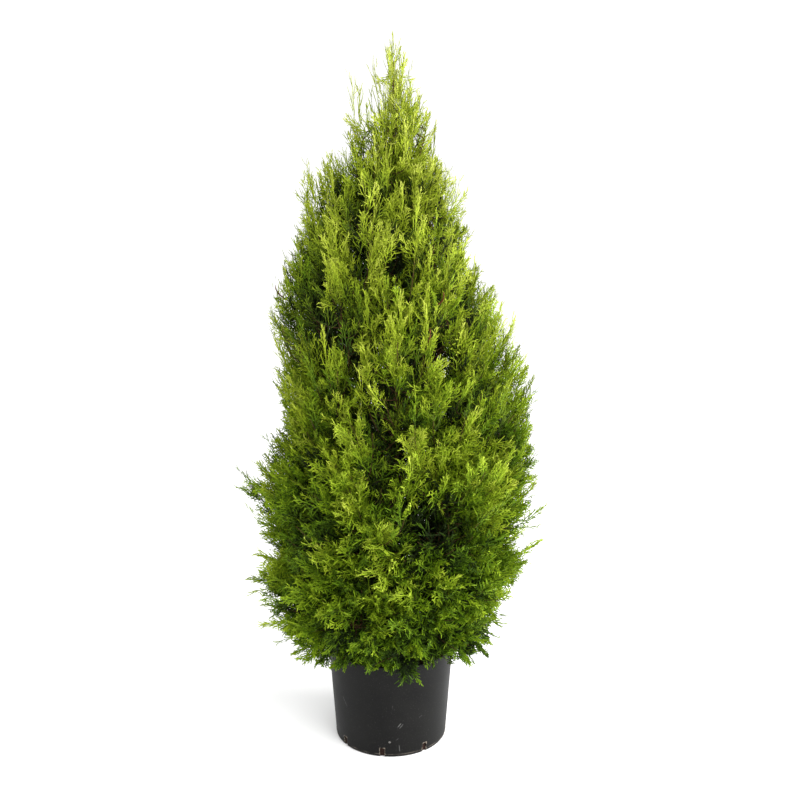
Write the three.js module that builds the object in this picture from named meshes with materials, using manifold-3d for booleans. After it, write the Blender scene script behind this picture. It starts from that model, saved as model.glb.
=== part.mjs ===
// Potted oriental arborvitae: a flame-shaped evergreen in a black nursery pot.
// Millimetres, +Z up, origin at the centre of the pot's flat underside, -Y is the front.
import * as THREE from 'three';
import { mergeVertices } from 'three/addons/utils/BufferGeometryUtils.js';
import Module from 'manifold-3d';

const wasm = await Module();
wasm.setup();

// Driving dimensions of the pot and the potting mix
const POT_HEIGHT = 253;
const RIM_RADIUS = 157.5;
const FOOT_RADIUS = 140;
const WALL = 2.4;
const FLOOR = 3;
const LIP_HEIGHT = 6;
const LIP_PROUD = 2.5;
const CORNER = 5;
const POT_SIDES = 40;
const NOTCHES = 8;
const NOTCH_TURN = -99;
const NOTCH_WIDTH = 12;
const NOTCH_HEIGHT = 17;
const NOTCH_DEPTH = 15;
const SOIL_BELOW_RIM = 22;
const CLEAR = 0.3;
const SOIL_GAP = 0.5;
const SLIVER = 0.05;

// Driving dimensions of the trunk
const GROUND = POT_HEIGHT - SOIL_BELOW_RIM + CLEAR;
const TRUNK_TOP = 1500;
const TRUNK_RADIUS = 17;
const TRUNK_TIP_RADIUS = 4.2;
const FLARE = 8;
const FLARE_HEIGHT = 22;
const FLARE_LOBES = 5;
const LOBE_DEPTH = 0.14;
const TAPER_POWER = 0.85;
const LEAN = 8;
const SWAY = 5;
const SWAY_TURNS = [1, 0.7];
const TRUNK_SIDES = 10;
const TRUNK_RINGS = 11;
const RING_CROWDING = 1.8;

// The crown, tier by tier from the top: how many masses, and the turn of the first in degrees. foot and tip
// give a stem's ends as distance from the middle and height, bow how far its middle goes outward and up, and
// girth the half widths of the mass across and in depth. A tier with a boughZ has a bough under each mass.
const TIERS = [
  {
    name: 'leader', count: 1, turn: 0, sprays: 7,
    foot: [0, 1500], tip: [0, 1727], bow: [0, 0], girth: [57, 54],
  },
  {
    name: 'crest', count: 4, turn: -15, sprays: 7,
    foot: [0, 1300], tip: [92, 1622], bow: [36, -24], girth: [94, 68],
  },
  {
    name: 'shoulder', count: 5, turn: 39, sprays: 8,
    foot: [0, 1045], tip: [210, 1468], bow: [112, -82], girth: [166, 110],
  },
  {
    name: 'upper', count: 5, turn: 25, sprays: 8, boughZ: 825,
    foot: [72, 918], tip: [250, 1224], bow: [85, -40], girth: [172, 94],
  },
  {
    name: 'middle', count: 6, turn: -27, sprays: 9, boughZ: 625,
    foot: [106, 731], tip: [321, 1120], bow: [45, -50], girth: [182, 182],
  },
  {
    name: 'waist', count: 6, turn: 4, sprays: 9, boughZ: 390,
    foot: [90, 480], tip: [352, 840], bow: [111, -84], girth: [228, 210],
  },
  {
    name: 'skirt', count: 6, turn: -48, sprays: 9, boughZ: 256,
    foot: [92, 346], tip: [388, 469], bow: [101, -115], girth: [280, 202],
  },
];
const TURN_SCATTER = 6;
const HEIGHT_SCATTER = 26;
const REACH_SCATTER = 10;
const STAGGER = 14;

// The crown's outer shape from the top down to where it hangs beside the rim: height, radius, and how far its
// middle lies to the right of the pot's
const CROWN = [
  [1727, 4, 8], [1660, 36, 5], [1600, 72, 2], [1500, 118, -12], [1400, 170, -22], [1300, 202, -14],
  [1227, 220, -18], [1150, 254, -6], [1050, 288, 10], [940, 314, 26], [800, 332, 16], [676, 352, 2],
  [520, 346, 14], [420, 328, 2], [360, 305, -6], [300, 280, -4], [240, 238, 0],
];

// Where masses meet: how far in from its foot a mass may reach, and what it keeps clear of
const INNER_SHARE = 0.42;
const BORDER_GAP = 1;
const POT_CLEAR = 9;
const LIMB_CLEAR = 4;
const BORDER_SAMPLES = 9;
const TRUNK_BORNE_START = 0.3;
const PINCHED = 0.02;

// Boughs, and the stems that go on from them
const BOUGH_RADIUS = 7.5;
const BOUGH_BEND = 0.45;
const BOUGH_SIDES = 5;
const BOUGH_RINGS = 3;
const FOOT_STEM_RADIUS = 4;
const TIP_STEM_RADIUS = 0.9;
const STEM_SIDES = 5;
const STEM_RINGS = 4;

// A mass's space swells and narrows along its stem like a flame, and its core fills these shares of it
const FLAME_FULLNESS = 2;
const FLAME_FOOT_POWER = 0.45;
const FLAME_TIP_POWER = 0.5;
const CORE_SHARE = 0.78;
const CORE_CROWN_SHARE = 0.91;
const CORE_BORDER_SHARE = 0.88;
const CORE_START = 0.1;
const CORE_END = 0.9;
const CORE_SIDES = 6;
const CORE_RINGS = 5;

// The toothed sprays. An outline point is a share of the length and of the half width, and a try is how much
// of the room a spray reaches over and its half width as a share of its length.
const SPRAY_OUTLINE = [[0, 0], [0.74, -1], [0.68, -0.3], [1, 0], [0.68, 0.3], [0.74, 1]];
const SPRAY_TRIES = [[0.98, 0.3], [0.98, 0.2], [0.9, 0.13], [0.8, 0.1]];
const SPRAY_THICKNESS = 0.035;
const SPRAY_CLIMB = 0.3;
const SPRAY_CROWDING = 0.8;
const SPRAY_SECTOR = 125;
const SPRAY_CROWN_SHARE = 1.03;
const SPRAY_CROWN_SCATTER = 0.05;
const LEAST_REACH = 0.3;
const GOLDEN_SHARE = 0.618034;

const UP = new THREE.Vector3(0, 0, 1);
const degrees = THREE.MathUtils.degToRad;

// A repeatable number from 0 to 1 for each whole number.
function seeded(number) {
  const wave = Math.sin(number * 12.9898 + 4.137) * 43758.5453;
  return wave - Math.floor(wave);
}

function scatter(number, reach) {
  return (2 * seeded(number) - 1) * reach;
}

// A closed geometry as a solid that can be joined and cut.
function solidOf(geometry) {
  const bare = new THREE.BufferGeometry();
  const flat = geometry.index ? geometry.toNonIndexed() : geometry;
  bare.setAttribute('position', flat.getAttribute('position'));
  const merged = mergeVertices(bare, 1e-3);
  const mesh = new wasm.Mesh({
    numProp: 3,
    vertProperties: merged.attributes.position.array,
    triVerts: new Uint32Array(merged.index.array),
  });
  return new wasm.Manifold(mesh);
}

// The largest single body of a solid without its slivers, back as a geometry.
function geometryOf(solid) {
  const bodies = solid.simplify(SLIVER).decompose().sort((a, b) => b.volume() - a.volume());
  const mesh = bodies[0].getMesh();
  const geometry = new THREE.BufferGeometry();
  geometry.setAttribute('position', new THREE.BufferAttribute(mesh.vertProperties, 3));
  geometry.setIndex(new THREE.BufferAttribute(mesh.triVerts, 1));
  geometry.computeVertexNormals();
  return geometry;
}

function material(colour, roughness) {
  return new THREE.MeshStandardMaterial({ color: colour, roughness, metalness: 0 });
}

const blackPlastic = material(0x2c2c2b, 0.55);
const pottingMix = material(0x3a2a20, 0.95);
const bark = material(0x6d5140, 0.85);
const foliage = material(0x6f8a22, 0.6);

const plant = new THREE.Group();

function addMesh(name, geometry, finish) {
  const mesh = new THREE.Mesh(geometry, finish);
  mesh.name = name;
  plant.add(mesh);
}

// A profile of radius and height pairs, turned round +Z.
function turned(profile, sides) {
  const lathe = new THREE.LatheGeometry(profile.map(([r, z]) => new THREE.Vector2(r, z)), sides);
  return lathe.rotateX(Math.PI / 2);
}

function wallRadius(z) {
  return FOOT_RADIUS + ((RIM_RADIUS - FOOT_RADIUS) * z) / POT_HEIGHT;
}

// The pot: a tapered shell with a small lip and notches through the corner of its foot.
function pot() {
  const lipFoot = POT_HEIGHT - LIP_HEIGHT;
  const outer = [
    [0, 0],
    [wallRadius(0) - CORNER, 0],
    [wallRadius(0) - 0.3 * CORNER, 0.3 * CORNER],
    [wallRadius(CORNER), CORNER],
    [wallRadius(lipFoot), lipFoot],
    [wallRadius(lipFoot) + LIP_PROUD, lipFoot + 1],
    [RIM_RADIUS + LIP_PROUD, POT_HEIGHT - 1.5],
    [RIM_RADIUS + 1, POT_HEIGHT],
  ];
  const inner = [
    [RIM_RADIUS - WALL, POT_HEIGHT],
    [wallRadius(FLOOR) - WALL, FLOOR],
    [0, FLOOR],
  ];
  let shell = solidOf(turned([...outer, ...inner], POT_SIDES));
  for (let i = 0; i < NOTCHES; i++) {
    const cutter = new THREE.BoxGeometry(2 * NOTCH_DEPTH, NOTCH_WIDTH, 2 * NOTCH_HEIGHT);
    cutter.translate(FOOT_RADIUS, 0, 0);
    cutter.rotateZ(degrees(NOTCH_TURN + (360 * i) / NOTCHES));
    shell = shell.subtract(solidOf(cutter));
  }
  return geometryOf(shell);
}

// The potting mix fills the pot to a little under the rim.
function soil() {
  const low = FLOOR + CLEAR;
  const high = POT_HEIGHT - SOIL_BELOW_RIM;
  const inside = (z) => wallRadius(z) - WALL - SOIL_GAP;
  return turned([[0, low], [inside(low), low], [inside(high), high], [0, high]], POT_SIDES);
}

// The trunk's centre line: a slight lean and sway that starts at the middle of the pot.
function trunkAt(z) {
  const share = (z - GROUND) / (TRUNK_TOP - GROUND);
  const swayX = SWAY * Math.sin(2 * Math.PI * SWAY_TURNS[0] * share);
  const swayY = SWAY * (Math.cos(2 * Math.PI * SWAY_TURNS[1] * share) - 1);
  return new THREE.Vector3(LEAN * share + swayX, swayY, z);
}

function trunkRadius(z) {
  const share = (z - GROUND) / (TRUNK_TOP - GROUND);
  const straight = TRUNK_RADIUS + (TRUNK_TIP_RADIUS - TRUNK_RADIUS) * Math.pow(share, TAPER_POWER);
  return straight + FLARE * Math.exp(-(z - GROUND) / FLARE_HEIGHT);
}

// The trunk, its rings closer together in the root flare; extra grows it all round.
function trunk(extra) {
  const heights = [];
  for (let i = 0; i <= TRUNK_RINGS; i++) {
    heights.push(GROUND + (TRUNK_TOP - GROUND) * Math.pow(i / TRUNK_RINGS, RING_CROWDING));
  }
  const profile = heights.map((z) => [trunkRadius(z) + extra, z]);
  const geometry = turned([[0, GROUND - extra], ...profile, [0, TRUNK_TOP + extra]], TRUNK_SIDES);
  const place = geometry.getAttribute('position');
  for (let i = 0; i < place.count; i++) {
    const z = place.getZ(i);
    const centre = trunkAt(z);
    const turn = Math.atan2(place.getY(i), place.getX(i));
    const lobe = 1 + LOBE_DEPTH * Math.cos(FLARE_LOBES * turn) * Math.exp(-(z - GROUND) / FLARE_HEIGHT);
    place.setXYZ(i, place.getX(i) * lobe + centre.x, place.getY(i) * lobe + centre.y, z);
  }
  return geometry;
}

// A round tapering tube along a curve, closed at both ends. Its sides are kept level by the side vector.
function taperedTube(curve, side, radiusAt, sides, rings) {
  const profile = [[0, 0]];
  for (let i = 0; i <= rings; i++) profile.push([radiusAt(i / rings), i / rings]);
  profile.push([0, 1]);
  const geometry = new THREE.LatheGeometry(profile.map(([r, h]) => new THREE.Vector2(r, h)), sides);
  const place = geometry.getAttribute('position');
  for (let i = 0; i < place.count; i++) {
    const at = frameAt(curve, side, place.getY(i));
    const point = at.centre.clone();
    point.addScaledVector(at.across, place.getX(i)).addScaledVector(at.outward, place.getZ(i));
    place.setXYZ(i, point.x, point.y, point.z);
  }
  return geometry;
}

// Where a curve is, and its directions along, across and outward there.
function frameAt(curve, side, t) {
  const centre = curve.getPoint(t);
  const along = curve.getTangent(t).normalize();
  const outward = new THREE.Vector3().crossVectors(side, along).normalize();
  const across = new THREE.Vector3().crossVectors(along, outward);
  return { centre, along, across, outward };
}

// The crown's radius and middle at a height, between the rows of its table.
function crownAt(z) {
  const below = CROWN.findIndex(([height]) => height <= z);
  const low = CROWN.at(below);
  const high = CROWN[Math.max(below - 1, 0)];
  const share = below > 0 ? (z - low[0]) / (high[0] - low[0]) : 0;
  return { radius: low[1] + (high[1] - low[1]) * share, middleX: low[2] + (high[2] - low[2]) * share };
}

// Where each mass starts and ends, and the curve of its stem.
function planMasses() {
  const masses = [];
  TIERS.forEach((tier, tierNumber) => {
    for (let i = 0; i < tier.count; i++) {
      const alone = tier.count === 1;
      const seed = 100 * tierNumber + 10 * i;
      const scatterHere = (number, reach) => (alone ? 0 : scatter(seed + number, reach));
      const turn = degrees(tier.turn + (360 * i) / tier.count + scatterHere(1, TURN_SCATTER));
      const radial = new THREE.Vector3(Math.cos(turn), Math.sin(turn), 0);
      const side = new THREE.Vector3(-Math.sin(turn), Math.cos(turn), 0);
      const climb = alone ? CLEAR : STAGGER * ((2 * i) % tier.count);
      const foot = trunkAt(tier.foot[1] + climb).addScaledVector(radial, tier.foot[0]);
      const tipZ = tier.tip[1] + scatterHere(3, HEIGHT_SCATTER);
      const tip = new THREE.Vector3(crownAt(tipZ).middleX, 0, tipZ);
      tip.addScaledVector(radial, tier.tip[0] + scatterHere(2, REACH_SCATTER));
      const middle = foot.clone().lerp(tip, 0.5).addScaledVector(radial, tier.bow[0]);
      middle.z += tier.bow[1];
      const stem = new THREE.QuadraticBezierCurve3(foot, middle, tip);
      const name = alone ? tier.name : `${tier.name}_${i + 1}`;
      masses.push({ name, tier, seed, radial, side, climb, foot, stem });
    }
  });
  return masses;
}

// How wide a mass's space is along its stem, from 0 at the foot to 1 at its widest and 0 at the pointed tip.
function flame(t) {
  return FLAME_FULLNESS * Math.pow(t, FLAME_FOOT_POWER) * Math.pow(1 - t, FLAME_TIP_POWER);
}

// Points along a stem, from where it has left its neighbours at the trunk.
function samplesOf(mass) {
  const first = mass.tier.boughZ ? 0 : TRUNK_BORNE_START;
  const step = (1 - first) / (BORDER_SAMPLES - 1);
  return Array.from({ length: BORDER_SAMPLES }, (_, i) => mass.stem.getPoint(first + step * i));
}

// The border between two masses: upright and through the trunk within a tier, and otherwise square to the
// shortest way from stem to stem, nearer to the thinner mass.
function borderBetween(mass, other) {
  if (other.tier === mass.tier) {
    const normal = other.radial.clone().sub(mass.radial).normalize();
    return { normal, limit: normal.x * LEAN - BORDER_GAP };
  }
  let nearest = { gap: Infinity };
  for (const a of samplesOf(mass)) {
    for (const b of samplesOf(other)) {
      if (a.distanceTo(b) < nearest.gap) nearest = { a, b, gap: a.distanceTo(b) };
    }
  }
  const normal = nearest.b.clone().sub(nearest.a).normalize();
  const share = mass.tier.girth[0] / (mass.tier.girth[0] + other.tier.girth[0]);
  return { normal, limit: normal.dot(nearest.a.lerp(nearest.b, share)) - BORDER_GAP };
}

// The flat borders that part a mass from its neighbours, from the trunk and from the pot.
function bordersOf(mass, masses) {
  const borders = masses.filter((other) => other !== mass).map((other) => borderBetween(mass, other));
  if (mass.tier.boughZ) {
    const inward = mass.radial.clone().negate();
    const room = mass.tier.foot[0] * (1 - INNER_SHARE);
    borders.push({ normal: inward, limit: inward.dot(mass.foot) + room });
  }
  const overRim = mass.radial.clone().negate().sub(UP).normalize();
  const rim = mass.radial.clone().multiplyScalar(RIM_RADIUS + LIP_PROUD).setZ(POT_HEIGHT);
  borders.push({ normal: overRim, limit: overRim.dot(rim) - POT_CLEAR });
  return borders;
}

// The share of the way from a to b that stays inside the borders, and next to nothing where a is outside.
function shareInside(a, b, borders) {
  let share = 1;
  for (const { normal, limit } of borders) {
    const start = normal.dot(a);
    const end = normal.dot(b);
    if (end > limit) share = Math.min(share, start < limit ? (limit - start) / (end - start) : PINCHED);
  }
  return share;
}

// A point on the skin of a mass's space: round its stem by a turn, at a share of the full width.
function skinPoint(mass, t, turn, share, crownShare) {
  const { centre, across, outward } = frameAt(mass.stem, mass.side, t);
  const width = flame(t) * share;
  const point = centre.clone();
  point.addScaledVector(across, Math.cos(turn) * width * mass.tier.girth[0]);
  point.addScaledVector(outward, Math.sin(turn) * width * mass.tier.girth[1]);
  const { radius, middleX } = crownAt(point.z);
  const shrink = Math.min(1, (radius * crownShare) / Math.hypot(point.x - middleX, point.y));
  point.x = middleX + (point.x - middleX) * shrink;
  point.y *= shrink;
  return { centre, point };
}

// The dense inside of a mass: rings round the stem, pulled in where they would cross a border.
function core(mass) {
  const profile = [[0, 0]];
  for (let i = 0; i <= CORE_RINGS; i++) profile.push([1, i / CORE_RINGS]);
  profile.push([0, 1]);
  const geometry = new THREE.LatheGeometry(profile.map(([r, h]) => new THREE.Vector2(r, h)), CORE_SIDES);
  const place = geometry.getAttribute('position');
  for (let i = 0; i < place.count; i++) {
    const t = CORE_START + (CORE_END - CORE_START) * place.getY(i);
    const rim = Math.hypot(place.getX(i), place.getZ(i));
    const turn = Math.atan2(place.getZ(i), place.getX(i));
    const { centre, point } = skinPoint(mass, t, turn, CORE_SHARE * rim, CORE_CROWN_SHARE);
    const inside = centre.clone().lerp(point, CORE_BORDER_SHARE * shareInside(centre, point, mass.borders));
    place.setXYZ(i, inside.x, inside.y, inside.z);
  }
  return geometry;
}

// A flat spray with three teeth on its own twig, thickest down the middle and sharp at its edge.
function spray(root, end, spread, width) {
  const along = end.clone().sub(root);
  const length = along.length();
  const sideways = spread.clone().addScaledVector(along, -spread.dot(along) / along.lengthSq()).normalize();
  const thick = new THREE.Vector3().crossVectors(along, sideways).normalize();
  const at = (u, v, w) => {
    const point = root.clone().addScaledVector(along, u);
    point.addScaledVector(sideways, v * length * width);
    return point.addScaledVector(thick, w * length * SPRAY_THICKNESS);
  };
  const rim = SPRAY_OUTLINE.map(([u, v]) => at(u, v, 0));
  const [below, above] = [at(0.5, 0, -1), at(0.5, 0, 1)];
  const corners = rim.flatMap((here, i) => {
    const next = rim[(i + 1) % rim.length];
    return [above, here, next, below, next, here];
  });
  return { corners, rim };
}

function trianglesOf(corners) {
  const numbers = corners.flatMap((corner) => corner.toArray());
  return new THREE.BufferGeometry().setAttribute('position', new THREE.Float32BufferAttribute(numbers, 3));
}

// How near a point comes to a limb.
function distanceToLimb(point, limb) {
  let least = Infinity;
  for (const [a, b] of limb.segments) {
    const nearest = new THREE.Line3(a, b).closestPointToPoint(point, true, new THREE.Vector3());
    least = Math.min(least, nearest.distanceTo(point) - limb.radius);
  }
  return least;
}

// The sprays climb the stem and share out the side that faces away from the trunk, the last one at its tip.
// One that is short of room is made narrower or shorter, and left out where that isn't enough.
function sprays(mass, limbs) {
  const made = [];
  const clear = (corner) => mass.borders.every((border) => border.normal.dot(corner) < border.limit)
    && limbs.every((limb) => distanceToLimb(corner, limb) > LIMB_CLEAR);
  for (let i = 0; i < mass.tier.sprays; i++) {
    const t = Math.pow((i + 1) / mass.tier.sprays, SPRAY_CROWDING);
    const turn = Math.PI / 2 + (2 * ((GOLDEN_SHARE * (i + 1)) % 1) - 1) * degrees(SPRAY_SECTOR);
    const root = mass.stem.getPoint(Math.max(0, t - SPRAY_CLIMB));
    const crownShare = SPRAY_CROWN_SHARE + scatter(mass.seed + 61 + i, SPRAY_CROWN_SCATTER);
    const { centre, point } = skinPoint(mass, t, turn, 1, crownShare);
    const room = shareInside(centre, point, mass.borders);
    if (room < LEAST_REACH) continue;
    for (const [reach, width] of SPRAY_TRIES) {
      const end = centre.clone().lerp(point, room * reach);
      const { corners, rim } = spray(root, end, mass.stem.getTangent(t), width);
      if (rim.slice(1).every(clear)) {
        made.push(solidOf(trianglesOf(corners)));
        break;
      }
    }
  }
  return made;
}

// A bough curves out of the trunk and ends square on, just short of its mass's stem.
function planBough(mass) {
  const start = trunkAt(mass.tier.boughZ + mass.climb);
  const heading = mass.stem.getTangent(0);
  const end = mass.foot.clone().addScaledVector(heading, -CLEAR);
  const middle = end.clone().addScaledVector(heading, -BOUGH_BEND * start.distanceTo(end));
  const curve = new THREE.QuadraticBezierCurve3(start, middle, end);
  const radiusAt = (t) => BOUGH_RADIUS + (FOOT_STEM_RADIUS - BOUGH_RADIUS) * t;
  const geometry = taperedTube(curve, mass.side, radiusAt, BOUGH_SIDES, BOUGH_RINGS);
  const points = curve.getPoints(BOUGH_RINGS);
  const segments = points.slice(1).map((point, i) => [points[i], point]);
  return { name: `bough_${mass.name}`, geometry, segments, radius: BOUGH_RADIUS };
}

// A mass: its stem, core and sprays as one body, cut clear of the trunk.
function massSolid(mass, limbs, grownTrunk) {
  const radiusAt = (t) => FOOT_STEM_RADIUS + (TIP_STEM_RADIUS - FOOT_STEM_RADIUS) * t;
  const stem = solidOf(taperedTube(mass.stem, mass.side, radiusAt, STEM_SIDES, STEM_RINGS));
  const pieces = [solidOf(core(mass)), ...sprays(mass, limbs)];
  return pieces.reduce((joined, piece) => joined.add(piece), stem).subtract(grownTrunk);
}

function buildPlant() {
  addMesh('pot', pot(), blackPlastic);
  addMesh('soil', geometryOf(solidOf(soil())), pottingMix);
  addMesh('trunk', geometryOf(solidOf(trunk(0))), bark);
  const grownTrunk = solidOf(trunk(CLEAR));
  const masses = planMasses();
  const boughs = new Map();
  for (const mass of masses) {
    if (mass.tier.boughZ) boughs.set(mass, planBough(mass));
  }
  for (const bough of boughs.values()) {
    addMesh(bough.name, geometryOf(solidOf(bough.geometry).subtract(grownTrunk)), bark);
  }
  for (const mass of masses) {
    mass.borders = bordersOf(mass, masses);
    const limbs = [...boughs].filter(([owner]) => owner !== mass).map(([, bough]) => bough);
    addMesh(`mass_${mass.name}`, geometryOf(massSolid(mass, limbs, grownTrunk)), foliage);
  }
}

buildPlant();

export default plant;
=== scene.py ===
# Potted oriental arborvitae: bark, twigs and thousands of small fans of scale leaves that grow on from the
# limbs, over a black nursery pot. Metres, +Z up, origin at the middle of the pot's flat underside, -Y front.
import math

import bmesh
import bpy
import numpy as np
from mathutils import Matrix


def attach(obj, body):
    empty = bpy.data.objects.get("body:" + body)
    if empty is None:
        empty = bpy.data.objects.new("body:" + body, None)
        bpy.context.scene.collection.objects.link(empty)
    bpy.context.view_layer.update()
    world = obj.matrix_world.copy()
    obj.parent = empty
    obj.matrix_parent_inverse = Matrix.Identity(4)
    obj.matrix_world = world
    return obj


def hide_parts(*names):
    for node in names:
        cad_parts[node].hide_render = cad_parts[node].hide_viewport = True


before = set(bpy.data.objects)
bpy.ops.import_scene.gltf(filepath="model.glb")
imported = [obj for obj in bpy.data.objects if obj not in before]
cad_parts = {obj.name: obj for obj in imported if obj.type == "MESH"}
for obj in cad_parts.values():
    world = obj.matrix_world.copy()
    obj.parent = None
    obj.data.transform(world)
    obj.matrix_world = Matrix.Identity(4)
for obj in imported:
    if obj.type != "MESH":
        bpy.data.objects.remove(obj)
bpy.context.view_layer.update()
print("frame loaded")

up = np.array([0.0, 0.0, 1.0])
goldenTurn = 2.39996  # radians
massNodes = sorted(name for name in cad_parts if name.startswith("mass_"))
boughNodes = sorted(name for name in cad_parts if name.startswith("bough_"))


# A repeatable number from 0 to 1: the fraction of sin(12.9898 n + 4.137) * 43758.5453.
def seeded(number):
    wave = np.sin(np.asarray(number, dtype=float) * 12.9898 + 4.137) * 43758.5453
    return wave - np.floor(wave)


# A repeatable number from -reach to reach.
def scatter(number, reach):
    return (2 * seeded(number) - 1) * reach


# v / |v|, and nothing for a vector of no length.
def unit(v):
    return v / np.maximum(np.linalg.norm(v, axis=-1, keepdims=True), 1e-9)


# (1 - t)^2 start + 2 (1 - t) t middle + t^2 end.
def bend(curve, t):
    t = np.asarray(t)[..., None]
    return (1 - t) ** 2 * curve[..., 0, :] + 2 * (1 - t) * t * curve[..., 1, :] + t ** 2 * curve[..., 2, :]


# 2 (1 - t) (middle - start) + 2 t (end - middle), made one long.
def bendDirection(curve, t):
    t = np.asarray(t)[..., None]
    start, middle, end = curve[..., 0, :], curve[..., 1, :], curve[..., 2, :]
    return unit(2 * (1 - t) * (middle - start) + 2 * t * (end - middle))


# Two directions square to one another and to the given one.
def squareTo(direction):
    lean = np.where(np.abs(direction[..., 2:]) < 0.9, up, np.array([1.0, 0.0, 0.0]))
    first = unit(np.cross(direction, lean))
    return first, np.cross(direction, first)


# The directions of turns and rises in radians: cos(rise) cos(turn), cos(rise) sin(turn), sin(rise).
def pointing(turn, rise):
    return np.stack([np.cos(rise) * np.cos(turn), np.cos(rise) * np.sin(turn), np.sin(rise)], axis=-1)


# The level directions out from +Z at a turn in degrees, and square to that.
def outAndAside(turn):
    turn = math.radians(turn)
    return np.array([math.cos(turn), math.sin(turn), 0]), np.array([-math.sin(turn), math.cos(turn), 0])


# Smooth noise of about -1 to 1: a sum of sines of slanting phases, each octave finer and fainter.
def ripple(a, b, seed, octaves=4, gain=0.55):
    total, weight, size = 0.0, 0.0, 1.0
    for k in range(octaves):
        p, q, r = seeded([seed + 7 * k, seed + 7 * k + 1, seed + 7 * k + 2]) * 6.28
        wave = np.sin(a * (1 + 0.9 * k) + p) * np.cos(b * (1.3 + 1.1 * k) + q)
        total = total + size * (wave + 0.5 * np.sin(1.7 * (k + 1) * a + 2.3 * (k + 1) * b + r))
        weight += 1.3 * size
        size *= gain
    return total / weight


# Faces of a grid of points: each has a corner in this row and column and one in the next.
def gridFaces(rows, columns, closed):
    across = columns if closed else columns - 1
    row, column = np.meshgrid(np.arange(rows - 1), np.arange(across), indexing="ij")
    beside = (column + 1) % columns
    corners = [row * columns + column, row * columns + beside]
    corners += [(row + 1) * columns + beside, (row + 1) * columns + column]
    return np.stack(corners, axis=-1).reshape(-1, 4)


# The faces of many like shapes of so many points each, one after another from a first point on.
def repeatFaces(faces, count, each, first=0):
    return (faces[None] + (first + np.arange(count) * each)[:, None, None]).reshape(-1, 4)


# A mesh's own bmesh, put back after the block has changed it.
class Reshaped:
    def __init__(self, mesh):
        self.mesh = mesh
        self.work = bmesh.new()

    def __enter__(self):
        self.work.from_mesh(self.mesh)
        return self.work

    def __exit__(self, *problem):
        bmesh.ops.recalc_face_normals(self.work, faces=self.work.faces)
        self.work.to_mesh(self.mesh)
        self.work.free()


# An object at the origin with these points, faces and finish.
def addMesh(name, points, faces, finish, smooth=False, weld=False):
    points = np.ascontiguousarray(points, dtype=np.float32).reshape(-1, 3)
    faces = np.ascontiguousarray(faces, dtype=np.int32)
    mesh = bpy.data.meshes.new(name)
    mesh.vertices.add(len(points))
    mesh.vertices.foreach_set("co", points.ravel())
    mesh.loops.add(faces.size)
    mesh.loops.foreach_set("vertex_index", faces.ravel())
    mesh.polygons.add(len(faces))
    mesh.polygons.foreach_set("loop_start", np.arange(0, faces.size, faces.shape[1], dtype=np.int32))
    mesh.update(calc_edges=True)
    if weld:
        with Reshaped(mesh) as work:
            bmesh.ops.remove_doubles(work, verts=work.verts, dist=1e-6)
            bmesh.ops.dissolve_degenerate(work, edges=work.edges, dist=1e-7)
    mesh.polygons.foreach_set("use_smooth", np.full(len(mesh.polygons), smooth))
    mesh.materials.append(finish)
    made = bpy.data.objects.new(name, mesh)
    bpy.context.scene.collection.objects.link(made)
    return made


# A piece that stands for CAD nodes, on the one body, with those nodes hidden.
def settle(piece, nodes):
    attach(piece, "root")
    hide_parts(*nodes)
    return piece


# sRGB numbers of 0 to 255 as linear light.
def tint(red, green, blue):
    light = (np.array([red, green, blue]) / 255 + 0.055) / 1.055
    return tuple(light ** 2.4) + (1.0,)


# A material, and short ways to add and join its nodes.
class Finish:
    def __init__(self, name, roughness, colour, specular=0.5):
        self.material = bpy.data.materials.new(name)
        self.material.use_nodes = True
        self.tree = self.material.node_tree
        self.shader = self.tree.nodes["Principled BSDF"]
        self.put(self.shader.inputs["Roughness"], roughness)
        self.put(self.shader.inputs["Base Color"], colour)
        self.put(self.shader.inputs["Specular IOR Level"], specular)

    def put(self, target, value):
        if isinstance(value, bpy.types.NodeSocket):
            self.tree.links.new(value, target)
        else:
            target.default_value = value

    def add(self, kind, inputs=(), **settings):
        made = self.tree.nodes.new(kind)
        for key, value in settings.items():
            setattr(made, key, value)
        for key, value in dict(inputs).items():
            self.put(made.inputs[key], value)
        return made

    # the point itself, stretched by a scale and turned by a rotation
    def objectPoint(self, scale=(1, 1, 1), rotation=(0, 0, 0)):
        place = self.add("ShaderNodeTexCoord").outputs["Object"]
        inputs = {"Vector": place, "Scale": scale, "Rotation": rotation}
        return self.add("ShaderNodeMapping", inputs).outputs[0]

    def noise(self, point, scale, detail=4, roughness=0.6):
        inputs = {"Vector": point, "Scale": scale, "Detail": detail, "Roughness": roughness}
        return self.add("ShaderNodeTexNoise", inputs).outputs["Fac"]

    def math(self, operation, a, b=0.0, c=0.0):
        return self.add("ShaderNodeMath", {0: a, 1: b, 2: c}, operation=operation).outputs[0]

    def times(self, a, b):
        return self.math("MULTIPLY", a, b)

    # from 0 at low to 1 at high
    def ramp(self, value, low, high):
        inputs = {"Value": value, "From Min": low, "From Max": high}
        return self.add("ShaderNodeMapRange", inputs, interpolation_type="SMOOTHSTEP").outputs[0]

    # from 1 at low to 0 at high
    def fade(self, value, low, high):
        return self.math("SUBTRACT", 1.0, self.ramp(value, low, high))

    def patches(self, point, scale, low, high, detail=3, roughness=0.6):
        return self.ramp(self.noise(point, scale, detail, roughness), low, high)

    def blend(self, share, first, second):
        return self.add("ShaderNodeMix", {0: share, 6: first, 7: second}, data_type="RGBA").outputs[2]

    def paint(self, colour):
        self.put(self.shader.inputs["Base Color"], colour)

    def bump(self, height, strength, distance):
        made = self.add("ShaderNodeBump", {"Height": height, "Strength": strength, "Distance": distance})
        self.put(self.shader.inputs["Normal"], made.outputs[0])


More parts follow.
